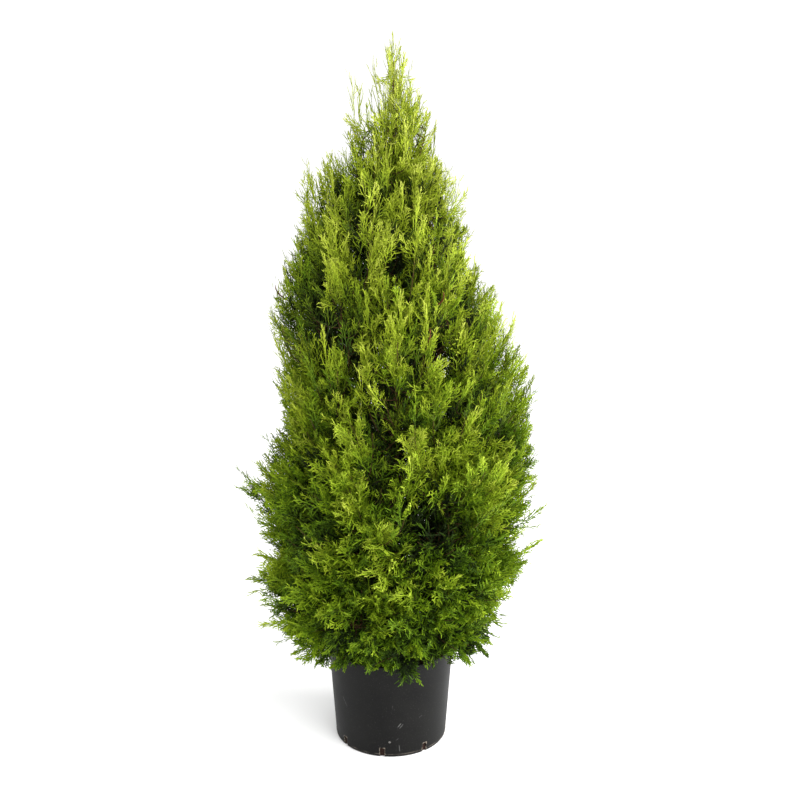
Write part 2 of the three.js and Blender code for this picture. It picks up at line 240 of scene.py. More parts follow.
potSizes = {
    "height": 0.253, "rimRadius": 0.1575, "footRadius": 0.140, "wall": 0.0024, "floor": 0.003,
    "corner": 0.005, "lipHeight": 0.006, "lipProud": 0.0025, "lipRound": 0.0016,
    "beadHeight": 0.0085, "beadProud": 0.0005, "beadHalf": 0.0012, "sides": 240, "wobble": 0.0003,
    "notches": 8, "notchTurn": -99, "notchWidth": 0.012, "notchHeight": 0.0255, "notchReach": 0.015,
    "dotTurn": -91.5, "dotHeight": 0.0435, "dotRadius": 0.003,
    "soilBelowRim": 0.022, "clear": 0.0003, "soilGap": 0.0005,
    # turn in degrees, height, length, width, slant from level in degrees and strength of each scuff
    "scuffs": [
        (-82.3, 0.0895, 0.0185, 0.0016, 52, 0.32), (-80.1, 0.087, 0.017, 0.0015, 52, 0.26),
        (-140.5, 0.131, 0.028, 0.0016, -58, 0.16), (-138.6, 0.124, 0.016, 0.0014, -50, 0.13),
        (-81.6, 0.025, 0.022, 0.0012, -84, 0.24), (-84, 0.051, 0.01, 0.0012, 40, 0.12),
        (-60, 0.106, 0.012, 0.0012, 28, 0.12), (-148.1, 0.0215, 0.005, 0.004, 0, 0.25),
        (20, 0.12, 0.026, 0.0016, 60, 0.25), (75, 0.08, 0.02, 0.0014, -40, 0.2),
        (150, 0.15, 0.03, 0.0016, 48, 0.22),
    ],
}


# Radius of the outer wall: foot + (rim - foot) z / height.
def wallRadius(z):
    size = potSizes
    return size["footRadius"] + (size["rimRadius"] - size["footRadius"]) * z / size["height"]


# A profile of radius and height carried once round +Z.
def turnedPoints(profile, sides):
    profile = np.asarray(profile, dtype=float)
    turn = np.linspace(0, 2 * math.pi, sides, endpoint=False)
    radius, height = profile[:, :1], profile[:, 1:]
    x, y = radius * np.cos(turn), radius * np.sin(turn)
    return np.stack([x, y, np.broadcast_to(height, x.shape)], axis=-1)


# The pale worn edge round each notch: 1 on it, by how far a point is from a notch along the wall or above it.
def wornEdges(finish, point, turn, height):
    step = 2 * math.pi / potSizes["notches"]
    fromNotch = finish.math("SUBTRACT", turn, math.radians(potSizes["notchTurn"]))
    wrapped = finish.math("WRAP", fromNotch, step / 2, -step / 2)
    along = finish.times(finish.math("ABSOLUTE", wrapped), potSizes["footRadius"])
    besideEdge = finish.math("SUBTRACT", along, potSizes["notchWidth"] / 2)
    aboveEdge = finish.math("SUBTRACT", height, potSizes["notchHeight"])
    edge = finish.math("MAXIMUM", besideEdge, aboveEdge)
    return finish.times(finish.fade(edge, 0.0003, 0.0022), finish.patches(point, 130.0, 0.35, 0.6))


# Each scuff is a soft-ended stroke on the unrolled wall: near 0 across its slant and along it.
def scuffStrokes(finish, point, turn, height):
    strokes = 0.0
    for at, middle, length, width, slant, strength in potSizes["scuffs"]:
        aside = finish.times(finish.math("SUBTRACT", turn, math.radians(at)), wallRadius(middle))
        above = finish.math("SUBTRACT", height, middle)
        cosine, sine = math.cos(math.radians(slant)), math.sin(math.radians(slant))
        down = finish.math("ADD", finish.times(aside, cosine), finish.times(above, sine))
        across = finish.math("SUBTRACT", finish.times(above, cosine), finish.times(aside, sine))
        inLength = finish.fade(finish.math("ABSOLUTE", down), length * 0.3, length * 0.5)
        inWidth = finish.fade(finish.math("ABSOLUTE", across), width * 0.3, width * 0.9)
        mark = finish.times(finish.times(inLength, inWidth), strength)
        strokes = finish.math("MAXIMUM", strokes, mark)
    return finish.times(strokes, finish.patches(point, 260.0, 0.3, 0.55))


# Black plastic clouded between two greys, with specks, scuffs, dust, a painted highlight along the bead
# and worn edges blended over it in turn.
def potFinish():
    finish = Finish("potBlackPlastic", 0.5, tint(8.6, 8.6, 8.6), 0.12)
    point = finish.objectPoint()
    parts = finish.add("ShaderNodeSeparateXYZ", {0: point}).outputs
    turn, height = finish.math("ARCTAN2", parts["Y"], parts["X"]), parts["Z"]
    cloud = finish.noise(point, 9.0, 5, 0.62)
    specks = finish.patches(point, 420.0, 0.62, 0.75, 2, 0.5)
    scuffPoint = finish.objectPoint((260, 34, 34), (0.5, 0.9, 0.2))
    scuffed = finish.patches(scuffPoint, 1.0, 0.7, 0.8, 2, 0.5)
    scuffed = finish.times(scuffed, finish.patches(point, 11.0, 0.56, 0.68, 2, 0.5))
    dust = finish.times(finish.fade(height, 0.002, 0.012), finish.ramp(cloud, 0.35, 0.7))
    fromBead = finish.math("ABSOLUTE", finish.math("SUBTRACT", height, potSizes["beadHeight"]))
    # painted highlight: a pale line along the bead
    paintedBeadHighlight = finish.times(finish.fade(fromBead, 0.0004, 0.0012), finish.patches(point, 38.0, 0.35, 0.6))
    base = finish.blend(finish.ramp(cloud, 0.3, 0.7), tint(3, 3, 3), tint(13, 13, 12))
    layers = [
        # where each lies, its strength and its colour
        (specks, 0.5, (58, 57, 54)), (scuffed, 0.5, (92, 91, 88)),
        (dust, 0.35, (84, 78, 70)), (paintedBeadHighlight, 0.75, (96, 90, 82)),
        (scuffStrokes(finish, point, turn, height), 1.0, (150, 150, 148)),
        (wornEdges(finish, point, turn, height), 0.6, (148, 138, 124)),
    ]
    for place, strength, colour in layers:
        base = finish.blend(finish.times(place, strength), base, tint(*colour))
    finish.paint(base)
    rough = finish.add("ShaderNodeMapRange", {"Value": cloud, "To Min": 0.4, "To Max": 0.62}).outputs[0]
    finish.put(finish.shader.inputs["Roughness"], rough)
    finish.bump(finish.noise(point, 900.0, 3, 0.6), 0.25, 0.0004)
    return finish.material


# The shell's profile: the foot with its round corner, the bead, the outer wall and the lip, then the inner
# wall and the floor.
def potProfile():
    size = potSizes
    corner, bead, lipFoot = size["corner"], size["beadHeight"], size["height"] - size["lipHeight"]
    profile = [(0, 0), (size["footRadius"] / 2, 0), (wallRadius(0) - corner, 0)]
    for angle in np.array([0.25, 0.5, 0.75, 1.0]) * math.pi / 2:
        profile.append((wallRadius(corner) - corner * (1 - math.sin(angle)), corner * (1 - math.cos(angle))))
    for offset, proud in ((-1.0, 0), (-0.5, 0.8), (0, 1), (0.5, 0.8), (1.0, 0)):
        z = bead + offset * size["beadHalf"]
        profile.append((wallRadius(z) + proud * size["beadProud"], z))
    profile += [(wallRadius(z), z) for z in np.linspace(bead + 3 * size["beadHalf"], lipFoot, 40)]
    lip, rim, edge = wallRadius(lipFoot) + size["lipProud"], size["height"], size["lipRound"]
    inside = size["rimRadius"] - size["wall"]
    profile += [(lip - 0.001, lipFoot + 0.0002), (lip, lipFoot + 0.001), (lip + 0.0001, rim - edge)]
    profile += [(lip - 0.0006, rim - edge / 4), (lip - edge, rim)]
    profile += [(inside + edge / 2, rim), (inside, rim - edge / 2)]
    profile += [(wallRadius(z) - size["wall"], z) for z in np.linspace(0.2, size["floor"], 12)]
    return profile + [(0, size["floor"])]


# Each notch is cut by a block with an arched top, carried out through the foot's corner.
def cutNotches(pot):
    size = potSizes
    half, archRise = size["notchWidth"] / 2, size["notchWidth"] * 0.225
    arch = np.linspace(0, math.pi, 13)
    top = np.stack([-half * np.cos(arch), size["notchHeight"] - archRise * (1 - np.sin(arch))], axis=-1)
    outline = np.concatenate([[(-half, -0.01)], top, [(half, -0.01)]])
    for k in range(size["notches"]):
        outward, aside = outAndAside(size["notchTurn"] + 360 * k / size["notches"])
        rings = [
            outward * reach + aside * outline[:, :1] + up * outline[:, 1:]
            for reach in (size["footRadius"] - size["notchReach"], size["footRadius"] + size["notchReach"])
        ]
        faces = gridFaces(2, len(outline), True)
        cutter = addMesh("notchCutter", np.concatenate(rings), faces, pot.data.materials[0])
        with Reshaped(cutter.data) as work:
            bmesh.ops.holes_fill(work, edges=work.edges, sides=0)
        cut = pot.modifiers.new("notch", "BOOLEAN")
        cut.operation, cut.solver, cut.object = "DIFFERENCE", "EXACT", cutter
        bpy.context.view_layer.objects.active = pot
        bpy.ops.object.modifier_apply(modifier=cut.name)
        bpy.data.objects.remove(cutter)


# The small moulded dot is a flat dome: rings of a share of its radius, each so far proud of the wall.
def buildDot():
    size = potSizes
    outward, aside = outAndAside(size["dotTurn"])
    around = np.linspace(0, 2 * math.pi, 24, endpoint=False)
    rings = []
    for share, proud in ((1.0, -0.0003), (0.95, 0.0004), (0.75, 0.0008), (0.0, 0.0009)):
        z = size["dotHeight"] + share * size["dotRadius"] * np.sin(around)
        shift = share * size["dotRadius"] * np.cos(around)
        rings.append(outward * (wallRadius(z) + proud)[:, None] + aside * shift[:, None] + up * z[:, None])
    finish = Finish("paleMouldMark", 0.5, tint(150, 148, 142), 0.4)
    specks = finish.patches(finish.objectPoint(), 600.0, 0.4, 0.6, 2, 0.5)
    finish.paint(finish.blend(specks, tint(62, 61, 59), tint(104, 102, 98)))
    faces = gridFaces(len(rings), len(around), True)
    dot = addMesh("mouldedDot", np.array(rings), faces, finish.material, True, True)
    settle(dot, ["pot"])


# The pot's profile turned round, with a slight wobble of ripple(turn, height) on the wall.
def buildPot():
    size = potSizes
    profile = potProfile()
    points = turnedPoints(profile, size["sides"])
    turn, height = np.arctan2(points[..., 1], points[..., 0]), points[..., 2]
    wobble = ripple(2 * turn, 26 * height, 5, 3) * size["wobble"]
    onWall = np.clip((height - 0.012) / 0.03, 0, 1) * np.clip((0.25 - height) / 0.02, 0, 1)
    points[..., :2] *= 1 + (wobble * onWall / 0.15)[..., None]
    pot = addMesh("potShell", points, gridFaces(len(profile), size["sides"], True), potFinish(), weld=True)
    cutNotches(pot)
    pot.data.polygons.foreach_set("use_smooth", np.ones(len(pot.data.polygons), dtype=bool))
    pot.data.set_sharp_from_angle(angle=math.radians(32))
    settle(pot, ["pot"])
    buildDot()


buildPot()
print("pot built")

soilLook = {"sides": 160, "topRings": 46, "crumb": 0.0045, "rootRelief": 0.0016}


# Crumbs of dark and light brown under reddish root strands, with painted shade low in the pot.
def soilFinish():
    finish = Finish("pottingMixCrumbs", 0.95, tint(58, 42, 32), 0.2)
    point = finish.objectPoint()
    crumb = finish.noise(point, 170.0, 5, 0.7)
    strands = finish.patches(finish.objectPoint((60, 60, 420)), 1.0, 0.55, 0.66)
    base = finish.blend(finish.ramp(crumb, 0.32, 0.68), tint(32, 22, 17), tint(88, 64, 48))
    base = finish.blend(finish.times(strands, 0.5), base, tint(98, 56, 38))
    # painted shade: low in the pot, where the notches show it, the mix is painted a dark red-brown
    height = finish.add("ShaderNodeSeparateXYZ", {0: point}).outputs["Z"]
    base = finish.blend(finish.times(finish.fade(height, 0.02, 0.05), 0.9), base, tint(26, 12, 9))
    finish.paint(base)
    finish.bump(crumb, 0.7, 0.003)
    return finish.material


# Foot, side and top of the mix: the top sinks by crumbs of ripple(x, y), the side by root strands of
# ripple(turn, height), and both are always inward so the mix stays in the pot.
def buildSoil():
    size = potSizes
    low = size["floor"] + size["clear"]
    high = size["height"] - size["soilBelowRim"]
    inside = wallRadius(np.array([low, high])) - size["wall"] - size["soilGap"]
    sideHeights = np.concatenate([np.linspace(low, 0.03, 14), np.linspace(0.04, high, 24)])
    side = inside[0] + (inside[1] - inside[0]) * (sideHeights - low) / (high - low)
    top = np.linspace(inside[1], 0, soilLook["topRings"])[1:]
    profile = [(0, low), (0.06, low)] + list(zip(side, sideHeights)) + [(r, high) for r in top]
    points = turnedPoints(profile, soilLook["sides"])
    turn = np.arctan2(points[..., 1], points[..., 0])
    onSide = slice(3, 2 + len(sideHeights) - 1)
    strands = 0.5 + 0.5 * ripple(22 * turn[onSide], 300 * points[onSide][..., 2], 11, 4)
    points[onSide, :, :2] *= 1 - (soilLook["rootRelief"] * strands / 0.14)[..., None]
    onTop = slice(2 + len(sideHeights), len(profile) - 1)
    crumbs = ripple(190 * points[onTop][..., 0], 190 * points[onTop][..., 1], 17, 5)
    points[onTop, :, 2] -= soilLook["crumb"] * (0.5 + 0.5 * crumbs)
    faces = gridFaces(len(profile), soilLook["sides"], True)
    soil = addMesh("pottingMix", points, faces, soilFinish(), True, True)
    settle(soil, ["soil"])


buildSoil()
print("potting mix built")

trunkSizes = {
    "ground": 0.2313, "top": 1.5, "radius": 0.017, "tipRadius": 0.0042, "flare": 0.008,
    "flareHeight": 0.022, "flareLobes": 5, "lobeDepth": 0.14, "taperPower": 0.85,
    "lean": 0.008, "sway": 0.005, "swayTurns": (1, 0.7),
}
# tier by tier: how many masses and the turn of the first in degrees. foot and tip are the ends of a stem as
# distance from the middle and height, bow is how far its middle goes outward and up, and girth the half
# widths of the mass across and in depth. shoots are on each stem, and spire lengthens its last one.
crownTiers = [
    {"name": "leader", "count": 1, "turn": 0, "foot": (0, 1.5), "tip": (0, 1.727), "bow": (0, 0),
     "girth": (0.057, 0.054), "shoots": 11, "spire": 1.4},
    {"name": "crest", "count": 4, "turn": -15, "foot": (0, 1.3), "tip": (0.092, 1.622),
     "bow": (0.036, -0.024), "girth": (0.094, 0.068), "shoots": 12, "spire": 1.6},
    {"name": "shoulder", "count": 5, "turn": 39, "foot": (0, 1.045), "tip": (0.21, 1.468),
     "bow": (0.112, -0.082), "girth": (0.166, 0.11), "shoots": 13, "spire": 1.5},
    {"name": "upper", "count": 5, "turn": 25, "boughZ": 0.825, "foot": (0.072, 0.918),
     "tip": (0.25, 1.224), "bow": (0.085, -0.04), "girth": (0.172, 0.094), "shoots": 13},
    {"name": "middle", "count": 6, "turn": -27, "boughZ": 0.625, "foot": (0.106, 0.731),
     "tip": (0.321, 1.12), "bow": (0.045, -0.05), "girth": (0.182, 0.182), "shoots": 15},
    {"name": "waist", "count": 6, "turn": 4, "boughZ": 0.39, "foot": (0.09, 0.48),
     "tip": (0.352, 0.84), "bow": (0.111, -0.084), "girth": (0.228, 0.21), "shoots": 21},
    {"name": "skirt", "count": 6, "turn": -48, "boughZ": 0.256, "foot": (0.092, 0.346),
     "tip": (0.388, 0.469), "bow": (0.101, -0.115), "girth": (0.28, 0.202), "shoots": 20},
]
crownRule = {
    "turnScatter": 6, "heightScatter": 0.026, "reachScatter": 0.01, "stagger": 0.014, "clear": 0.0003,
    "innerShare": 0.42, "borderGap": 0.001, "potClear": 0.009, "trunkBorneStart": 0.3, "pinched": 0.02,
    "boughRadius": 0.0075, "boughBend": 0.45, "footStemRadius": 0.004, "tipStemRadius": 0.0009,
    "fullness": 2, "footPower": 0.45, "tipPower": 0.5, "climb": 0.3, "crowding": 0.8, "sector": 125,
    "goldenShare": 0.618034,
}
# height, radius and how far the middle lies to the right, from the foot of the crown up
crownShape = np.array([
    [0.22, 0.22, 0.01], [0.26, 0.28, 0.01], [0.33, 0.305, -0.01], [0.39, 0.315, -0.03], [0.46, 0.33, 0.01],
    [0.52, 0.345, 0.02], [0.58, 0.345, 0.02], [0.64, 0.35, 0], [0.71, 0.355, 0], [0.77, 0.335, 0.02],
    [0.83, 0.305, 0.04], [0.95, 0.305, 0.03], [1.01, 0.285, 0.03], [1.06, 0.3, 0], [1.12, 0.28, -0.01],
    [1.18, 0.245, -0.02], [1.24, 0.21, -0.02], [1.29, 0.21, -0.01], [1.35, 0.17, -0.03],
    [1.4, 0.165, -0.015], [1.45, 0.13, -0.015], [1.51, 0.1, 0.02], [1.56, 0.07, 0.005], [1.67, 0.03, 0.005],
    [1.7, 0.012, 0.008], [1.727, 0.003, 0.008],
])


# The crown's radius and the x of its middle at a height.
def crownAt(z):
    heights, radii, middles = crownShape.T
    return np.interp(z, heights, radii), np.interp(z, heights, middles)


# A place's turn about the crown's middle, how far out it is, and the crown's radius there.
def turnAndReach(place):
    radius, middleX = crownAt(place[..., 2])
    x, y = place[..., 0] - middleX, place[..., 1]
    return np.arctan2(y, x), np.hypot(x, y), radius


# The place at a turn, a height and a share of the crown's radius.
def placeAt(turn, z, share):
    radius, middleX = crownAt(z)
    return np.stack([middleX + radius * share * np.cos(turn), radius * share * np.sin(turn), z], axis=-1)


# A place drawn in, level, to this share of the crown's radius where it lies further out.
def drawnIn(place, share):
    radius, middleX = crownAt(place[..., 2])
    reach = np.maximum(turnAndReach(place)[1], 1e-9)
    pull = np.minimum(1, radius * share / reach)
    x = middleX + (place[..., 0] - middleX) * pull
    return np.stack([x, place[..., 1] * pull, place[..., 2]], axis=-1)


# How far up the trunk a height is, from 0 at the ground to 1 at its top.
def trunkShare(z):
    return (np.asarray(z) - trunkSizes["ground"]) / (trunkSizes["top"] - trunkSizes["ground"])


# x = lean s + sway sin(2 pi a s), y = sway (cos(2 pi b s) - 1), with s the share up the trunk.
def trunkAt(z):
    share = trunkShare(z)
    first, second = trunkSizes["swayTurns"]
    x = trunkSizes["lean"] * share + trunkSizes["sway"] * np.sin(2 * math.pi * first * share)
    y = trunkSizes["sway"] * (np.cos(2 * math.pi * second * share) - 1)
    return np.stack(np.broadcast_arrays(x, y, np.asarray(z, dtype=float)), axis=-1)


# radius + (tip - radius) s^power + flare exp(-height / flare height).
def trunkRadius(z):
    size = trunkSizes
    straight = size["radius"] + (size["tipRadius"] - size["radius"]) * trunkShare(z) ** size["taperPower"]
    return straight + size["flare"] * np.exp(-(z - size["ground"]) / size["flareHeight"])


# Where each mass starts and ends: its stem is a curve of three points from foot to tip.
def planMasses():
    planned = []
    for tierNumber, tier in enumerate(crownTiers):
        for i in range(tier["count"]):
            alone = tier["count"] == 1
            seed = 100 * tierNumber + 10 * i
            move = [0 if alone else float(scatter(seed + k, 1)) for k in (1, 2, 3)]
            turn = tier["turn"] + 360 * i / tier["count"] + move[0] * crownRule["turnScatter"]
            radial, side = outAndAside(turn)
            climb = crownRule["clear"] if alone else crownRule["stagger"] * ((2 * i) % tier["count"])
            foot = trunkAt(tier["foot"][1] + climb) + radial * tier["foot"][0]
            tipZ = tier["tip"][1] + move[2] * crownRule["heightScatter"]
            tip = np.array([float(crownAt(tipZ)[1]), 0, tipZ])
            tip = tip + radial * (tier["tip"][0] + move[1] * crownRule["reachScatter"])
            middle = (foot + tip) / 2 + radial * tier["bow"][0] + up * tier["bow"][1]
            planned.append({
                "tier": tier, "seed": seed, "radial": radial, "side": side, "climb": climb,
                "stem": np.array([foot, middle, tip]),
            })
    return planned


masses = planMasses()


# The border planes of one mass: those to its neighbours, the one at the trunk, and the one over the rim.
def bordersOf(mass):
    normals, limits = [], []
    samples = []
    for each in masses:
        start = 0 if "boughZ" in each["tier"] else crownRule["trunkBorneStart"]
        samples.append(bend(each["stem"], np.linspace(start, 1, 9)))
    ownSamples = next(place for each, place in zip(masses, samples) if each is mass)
    for other, otherSamples in zip(masses, samples):
        if other is mass:
            continue
        if other["tier"] is mass["tier"]:
            normal = unit(other["radial"] - mass["radial"])
            limit = normal[0] * trunkSizes["lean"]
        else:
            gaps = np.linalg.norm(ownSamples[:, None] - otherSamples[None], axis=-1)
            i, j = np.unravel_index(gaps.argmin(), gaps.shape)
            normal = unit(otherSamples[j] - ownSamples[i])
            ours, theirs = mass["tier"]["girth"][0], other["tier"]["girth"][0]
            limit = normal @ (ownSamples[i] + (otherSamples[j] - ownSamples[i]) * ours / (ours + theirs))
        normals.append(normal)
        limits.append(limit - crownRule["borderGap"])
    if "boughZ" in mass["tier"]:
        inward = -mass["radial"]
        normals.append(inward)
        limits.append(inward @ mass["stem"][0] + mass["tier"]["foot"][0] * (1 - crownRule["innerShare"]))
    overRim = unit(-mass["radial"] - up)
    rim = mass["radial"] * (potSizes["rimRadius"] + potSizes["lipProud"]) + up * potSizes["height"]
    normals.append(overRim)
    limits.append(overRim @ rim - crownRule["potClear"])
    return np.array(normals), np.array(limits)


# The share of the way from a to b inside the planes: the least (limit - a.n) / (b.n - a.n).
def shareInside(a, b, borders):
    normals, limits = borders
    start, end = a @ normals.T, b @ normals.T
    crossed = np.where(start < limits, (limits - start) / np.maximum(end - start, 1e-9), crownRule["pinched"])
    return np.where(end > limits, crossed, 1.0).min(axis=-1)


# Round the stem by a turn: centre + flame(t) (cos(turn) across + sin(turn) outward), drawn in to the crown's
# shape, with flame(t) = fullness t^footPower (1 - t)^tipPower.
def skinPoints(mass, t, turn, crownShare):
    centre, along = bend(mass["stem"], t), bendDirection(mass["stem"], t)
    outward = unit(np.cross(mass["side"], along))
    across = np.cross(along, outward)
    wide = crownRule["fullness"] * t ** crownRule["footPower"] * (1 - t) ** crownRule["tipPower"]
    girth = mass["tier"]["girth"]
    point = centre + across * (np.cos(turn) * wide * girth[0])[:, None]
    point = point + outward * (np.sin(turn) * wide * girth[1])[:, None]
    return centre, drawnIn(point, crownShare)


barkLook = {
    "trunkSides": 56, "trunkRings": 260, "boughSides": 18, "boughRings": 30,
    "ridges": 11, "ridgeDepth": 0.0011, "stringDepth": 0.0005,
}


# Long strings of dark and light brown, with greyer patches.
def barkFinish():
    finish = Finish("stringyBark", 0.88, tint(112, 80, 60), 0.25)
    strings = finish.noise(finish.objectPoint((150, 150, 14)), 1.0, 5, 0.65)
    patch = finish.patches(finish.objectPoint(), 26.0, 0.5, 0.7)
    base = finish.blend(finish.ramp(strings, 0.34, 0.66), tint(66, 44, 33), tint(142, 106, 82))
    finish.paint(finish.blend(finish.times(patch, 0.6), base, tint(122, 104, 90)))
    finish.bump(strings, 0.6, 0.0012)
    return finish.material


# Bark relief as a share of its depth: twisting ridges |sin|, broken up by ripple, over fine strings.
def barkRelief(turn, length, seed):
    drift = 1.4 * ripple(0 * turn + 1, 9 * length, seed, 3)
    ridge = np.abs(np.sin(0.5 * barkLook["ridges"] * turn + drift + 1.2 * np.sin(4 * length + 2 * turn)))
    broken = 0.6 + 0.4 * ripple(3 * turn, 34 * length, seed + 3, 4)
    strings = ripple(19 * turn, 46 * length, seed + 5, 3)
    return barkLook["ridgeDepth"] * (ridge ** 0.7 * broken - 0.6) + barkLook["stringDepth"] * strings


# Points round a path: path + radius (cos(turn) first + sin(turn) second), closed by a point at both ends.
def tubePoints(path, radius, first, second):
    turn = np.linspace(0, 2 * math.pi, radius.shape[-1], endpoint=False)
    ring = np.cos(turn)[:, None] * first[..., None, :] + np.sin(turn)[:, None] * second[..., None, :]
    points = path[..., None, :] + radius[..., None] * ring
    ends = [np.broadcast_to(path[..., [k], :][..., None, :], points[..., :1, :, :].shape) for k in (0, -1)]
    return np.concatenate([ends[0], points, ends[1]], axis=-3)


# The trunk's radius takes lobes at its flare: 1 + depth cos(lobes turn) exp(-height / flare height).
def buildTrunk(finish):
    sides, rings, size = barkLook["trunkSides"], barkLook["trunkRings"], trunkSizes
    z = size["ground"] + (size["top"] - size["ground"]) * np.linspace(0, 1, rings) ** 1.25
    turn = np.linspace(0, 2 * math.pi, sides, endpoint=False)
    fade = np.exp(-(z - size["ground"]) / size["flareHeight"])
    lobe = 1 + size["lobeDepth"] * np.cos(size["flareLobes"] * turn) * fade[:, None]
    radius = trunkRadius(z)[:, None] * lobe
    relief = barkRelief(turn[None, :], z[:, None], 31) * np.clip(radius / 0.012, 0.2, 1)
    path = trunkAt(z)
    east, north = np.broadcast_to([1.0, 0, 0], path.shape), np.broadcast_to([0, 1.0, 0], path.shape)
    points = tubePoints(path, radius + relief, east, north)
    trunk = addMesh("trunkBark", points, gridFaces(rings + 2, sides, True), finish, True, True)
    settle(trunk, ["trunk"])


# Every bough goes out of the trunk, square on to its mass's stem, with radius + (foot - radius) t.
def buildBoughs(finish):
    sides, rings = barkLook["boughSides"], barkLook["boughRings"]
    t, turn = np.linspace(0, 1, rings), np.linspace(0, 2 * math.pi, sides, endpoint=False)
    radius = crownRule["boughRadius"] + (crownRule["footStemRadius"] - crownRule["boughRadius"]) * t
    points = []
    for mass in (m for m in masses if "boughZ" in m["tier"]):
        start = trunkAt(mass["tier"]["boughZ"] + mass["climb"])
        end = mass["stem"][0]
        middle = end - bendDirection(mass["stem"], 0.0) * crownRule["boughBend"] * np.linalg.norm(end - start)
        curve = np.array([start, middle, end])
        path, along = bend(curve, t), bendDirection(curve, t)
        first = unit(np.cross(mass["side"], along))
        relief = barkRelief(turn[None, :], t[:, None] * 0.4 + mass["seed"], mass["seed"]) * 0.5
        points.append(tubePoints(path, radius[:, None] + relief, first, np.cross(along, first)))
    faces = repeatFaces(gridFaces(rings + 2, sides, True), len(points), (rings + 2) * sides)
    boughs = addMesh("boughBark", np.array(points), faces, finish, True, True)
    settle(boughs, boughNodes)


barkMade = barkFinish()
buildTrunk(barkMade)
buildBoughs(barkMade)
print("trunk and boughs built")

# height, and how steeply shoots and fans end there, in degrees above level
riseAt = ([0.24, 0.3, 0.38, 0.48, 0.6, 0.75, 0.9, 1.1, 1.4, 1.73], [-32, -12, 8, 24, 38, 52, 64, 74, 81, 89])
shootLook = {
    "riseScatter": 10, "asideScatter": 18, "arrival": 0.55, "stemShare": 0.64, "lowest": 0.235,
    # how far short of its target a shoot ends, and what shares of the crown's radius targets lie at
    "leadLength": 0.055, "outLeadLength": 0.135, "lowLeadLength": 0.05, "lowTip": 0.4,
    "crownShare": 0.93, "crownScatter": 0.08, "leastRoom": 0.12, "spireAt": 0.86, "spireReach": 1.08,
    # the further shoots that fill bare places
    "lattice": 840, "latticeFoot": 0.232, "latticeTop": 1.64, "latticeScatter": 0.012, "latticeGap": 0.042,
    "fillLength": 0.17,
    # those straight on the trunk near its top
    "onTrunkTop": 30, "trunkTopFrom": 1.08, "trunkTopLength": 0.12, "trunkTopRise": 68, "trunkTopBow": 0.6,
    # from where to where on a stem shoots start, and outlying ones
    "stemSpan": (0.04, 0.8), "outSpan": (0.1, 0.85), "outSpireFrom": 1.2, "outSpire": 1.1,
    # and the ones inside, whose dark fans are painted shade
    "innerLattice": 360, "innerFoot": 0.29, "innerTop": 1.36, "innerAt": 0.6, "innerScatter": 0.15,
    "innerOnTrunk": 90, "innerLength": 0.1, "innerDrop": 0.06, "innerSag": 0.15, "innerLean": 0.5,
    "innerRoom": 0.4,
}
plumeLook = {
    # the plumes the photo shows in front: turn of the tip in degrees, height, half width, length and slant
    "front": [
        (-95, 1.262, 0.05, 0.24, 0), (-128, 1.335, 0.058, 0.24, 0.12), (-126, 1.165, 0.05, 0.2, 0.06),
        (-107, 1.06, 0.042, 0.2, 0), (-122, 0.94, 0.095, 0.27, 0.04), (-84, 1.155, 0.048, 0.14, 0.04),
        (-70, 1.27, 0.062, 0.25, 0.03), (-96, 1.105, 0.046, 0.15, 0), (-91, 1.36, 0.04, 0.12, 0),
        (-103, 1.43, 0.034, 0.2, 0), (-72, 1.44, 0.034, 0.19, 0), (-136, 1.41, 0.05, 0.15, 0.1),
        (-52, 1.34, 0.042, 0.24, 0), (-66, 1.4, 0.03, 0.13, 0), (-86, 0.885, 0.046, 0.18, 0.03),
        (-78, 0.765, 0.046, 0.13, 0.02), (-70, 0.81, 0.055, 0.13, 0), (-58, 0.9, 0.055, 0.2, 0),
        (-75, 1.035, 0.052, 0.13, 0), (-62, 1.09, 0.06, 0.2, 0), (-46, 1.11, 0.055, 0.24, 0),
        (-146, 1.07, 0.045, 0.22, 0), (-146, 0.82, 0.06, 0.2, 0), (-108, 0.75, 0.06, 0.13, 0),
        (-40, 0.82, 0.06, 0.22, 0), (-96, 0.66, 0.05, 0.09, 0), (-116, 0.63, 0.05, 0.1, 0),
    ],
    # the part of the crown those cover: from and to turn, from and to height
    "frontSpan": (-152, -34, 0.62, 1.46), "lattice": 210, "foot": 0.27, "top": 1.46,
    "width": ([0.3, 0.6, 1.0, 1.45], [0.036, 0.052, 0.054, 0.034]),
    "length": ([0.3, 0.5, 0.8, 1.45], [0.07, 0.11, 0.22, 0.17]),
    "tone": 0.06, "flare": 26, "bareReach": 0.93, "edgeReach": 0.03, "bareKept": 0.6,
    "tipLight": 0.17, "footShade": 0.3, "edgeShade": 0.1, "bareShade": 0.3, "fade": (1.3, 1.42),
}


# Heights for a golden spiral over the crown, so that it is even by area: each takes an equal share of the
# running sum of the weights at the given heights.
def spiralHeights(count, heights, weights):
    area = np.cumsum(weights)
    return np.interp((np.arange(count) + 0.5) / count, area / area[-1], heights)


# Plumes as rows of turn, height, half width, length, slant and tone: the front ones, and a golden spiral of
# them over the rest of the crown.
def planPlumes():
    look = plumeLook
    i = np.arange(look["lattice"])
    heights = np.linspace(look["foot"], look["top"], 400)
    weights = crownAt(heights)[0] / np.interp(heights, *look["width"]) / np.interp(heights, *look["length"])
    z = spiralHeights(look["lattice"], heights, weights)
    turn = (math.degrees(goldenTurn) * i + scatter(i + 31, 6) + 180) % 360 - 180
    width = np.interp(z, *look["width"]) * (1 + scatter(i + 52, 0.2))
    length = np.interp(z, *look["length"]) * (1 + scatter(i + 73, 0.2))
    rows = np.stack([turn, z, width, length, scatter(i + 94, 0.12)], axis=-1)
    left, right, low, high = look["frontSpan"]
    rest = rows[~((turn > left) & (turn < right) & (z > low) & (z < high))]
    rows = np.concatenate([np.array(look["front"]), rest])
    rows[:, 0] = np.radians(rows[:, 0])
    return np.column_stack([rows, scatter(np.arange(len(rows)) + 7, look["tone"])])


plumes = planPlumes()


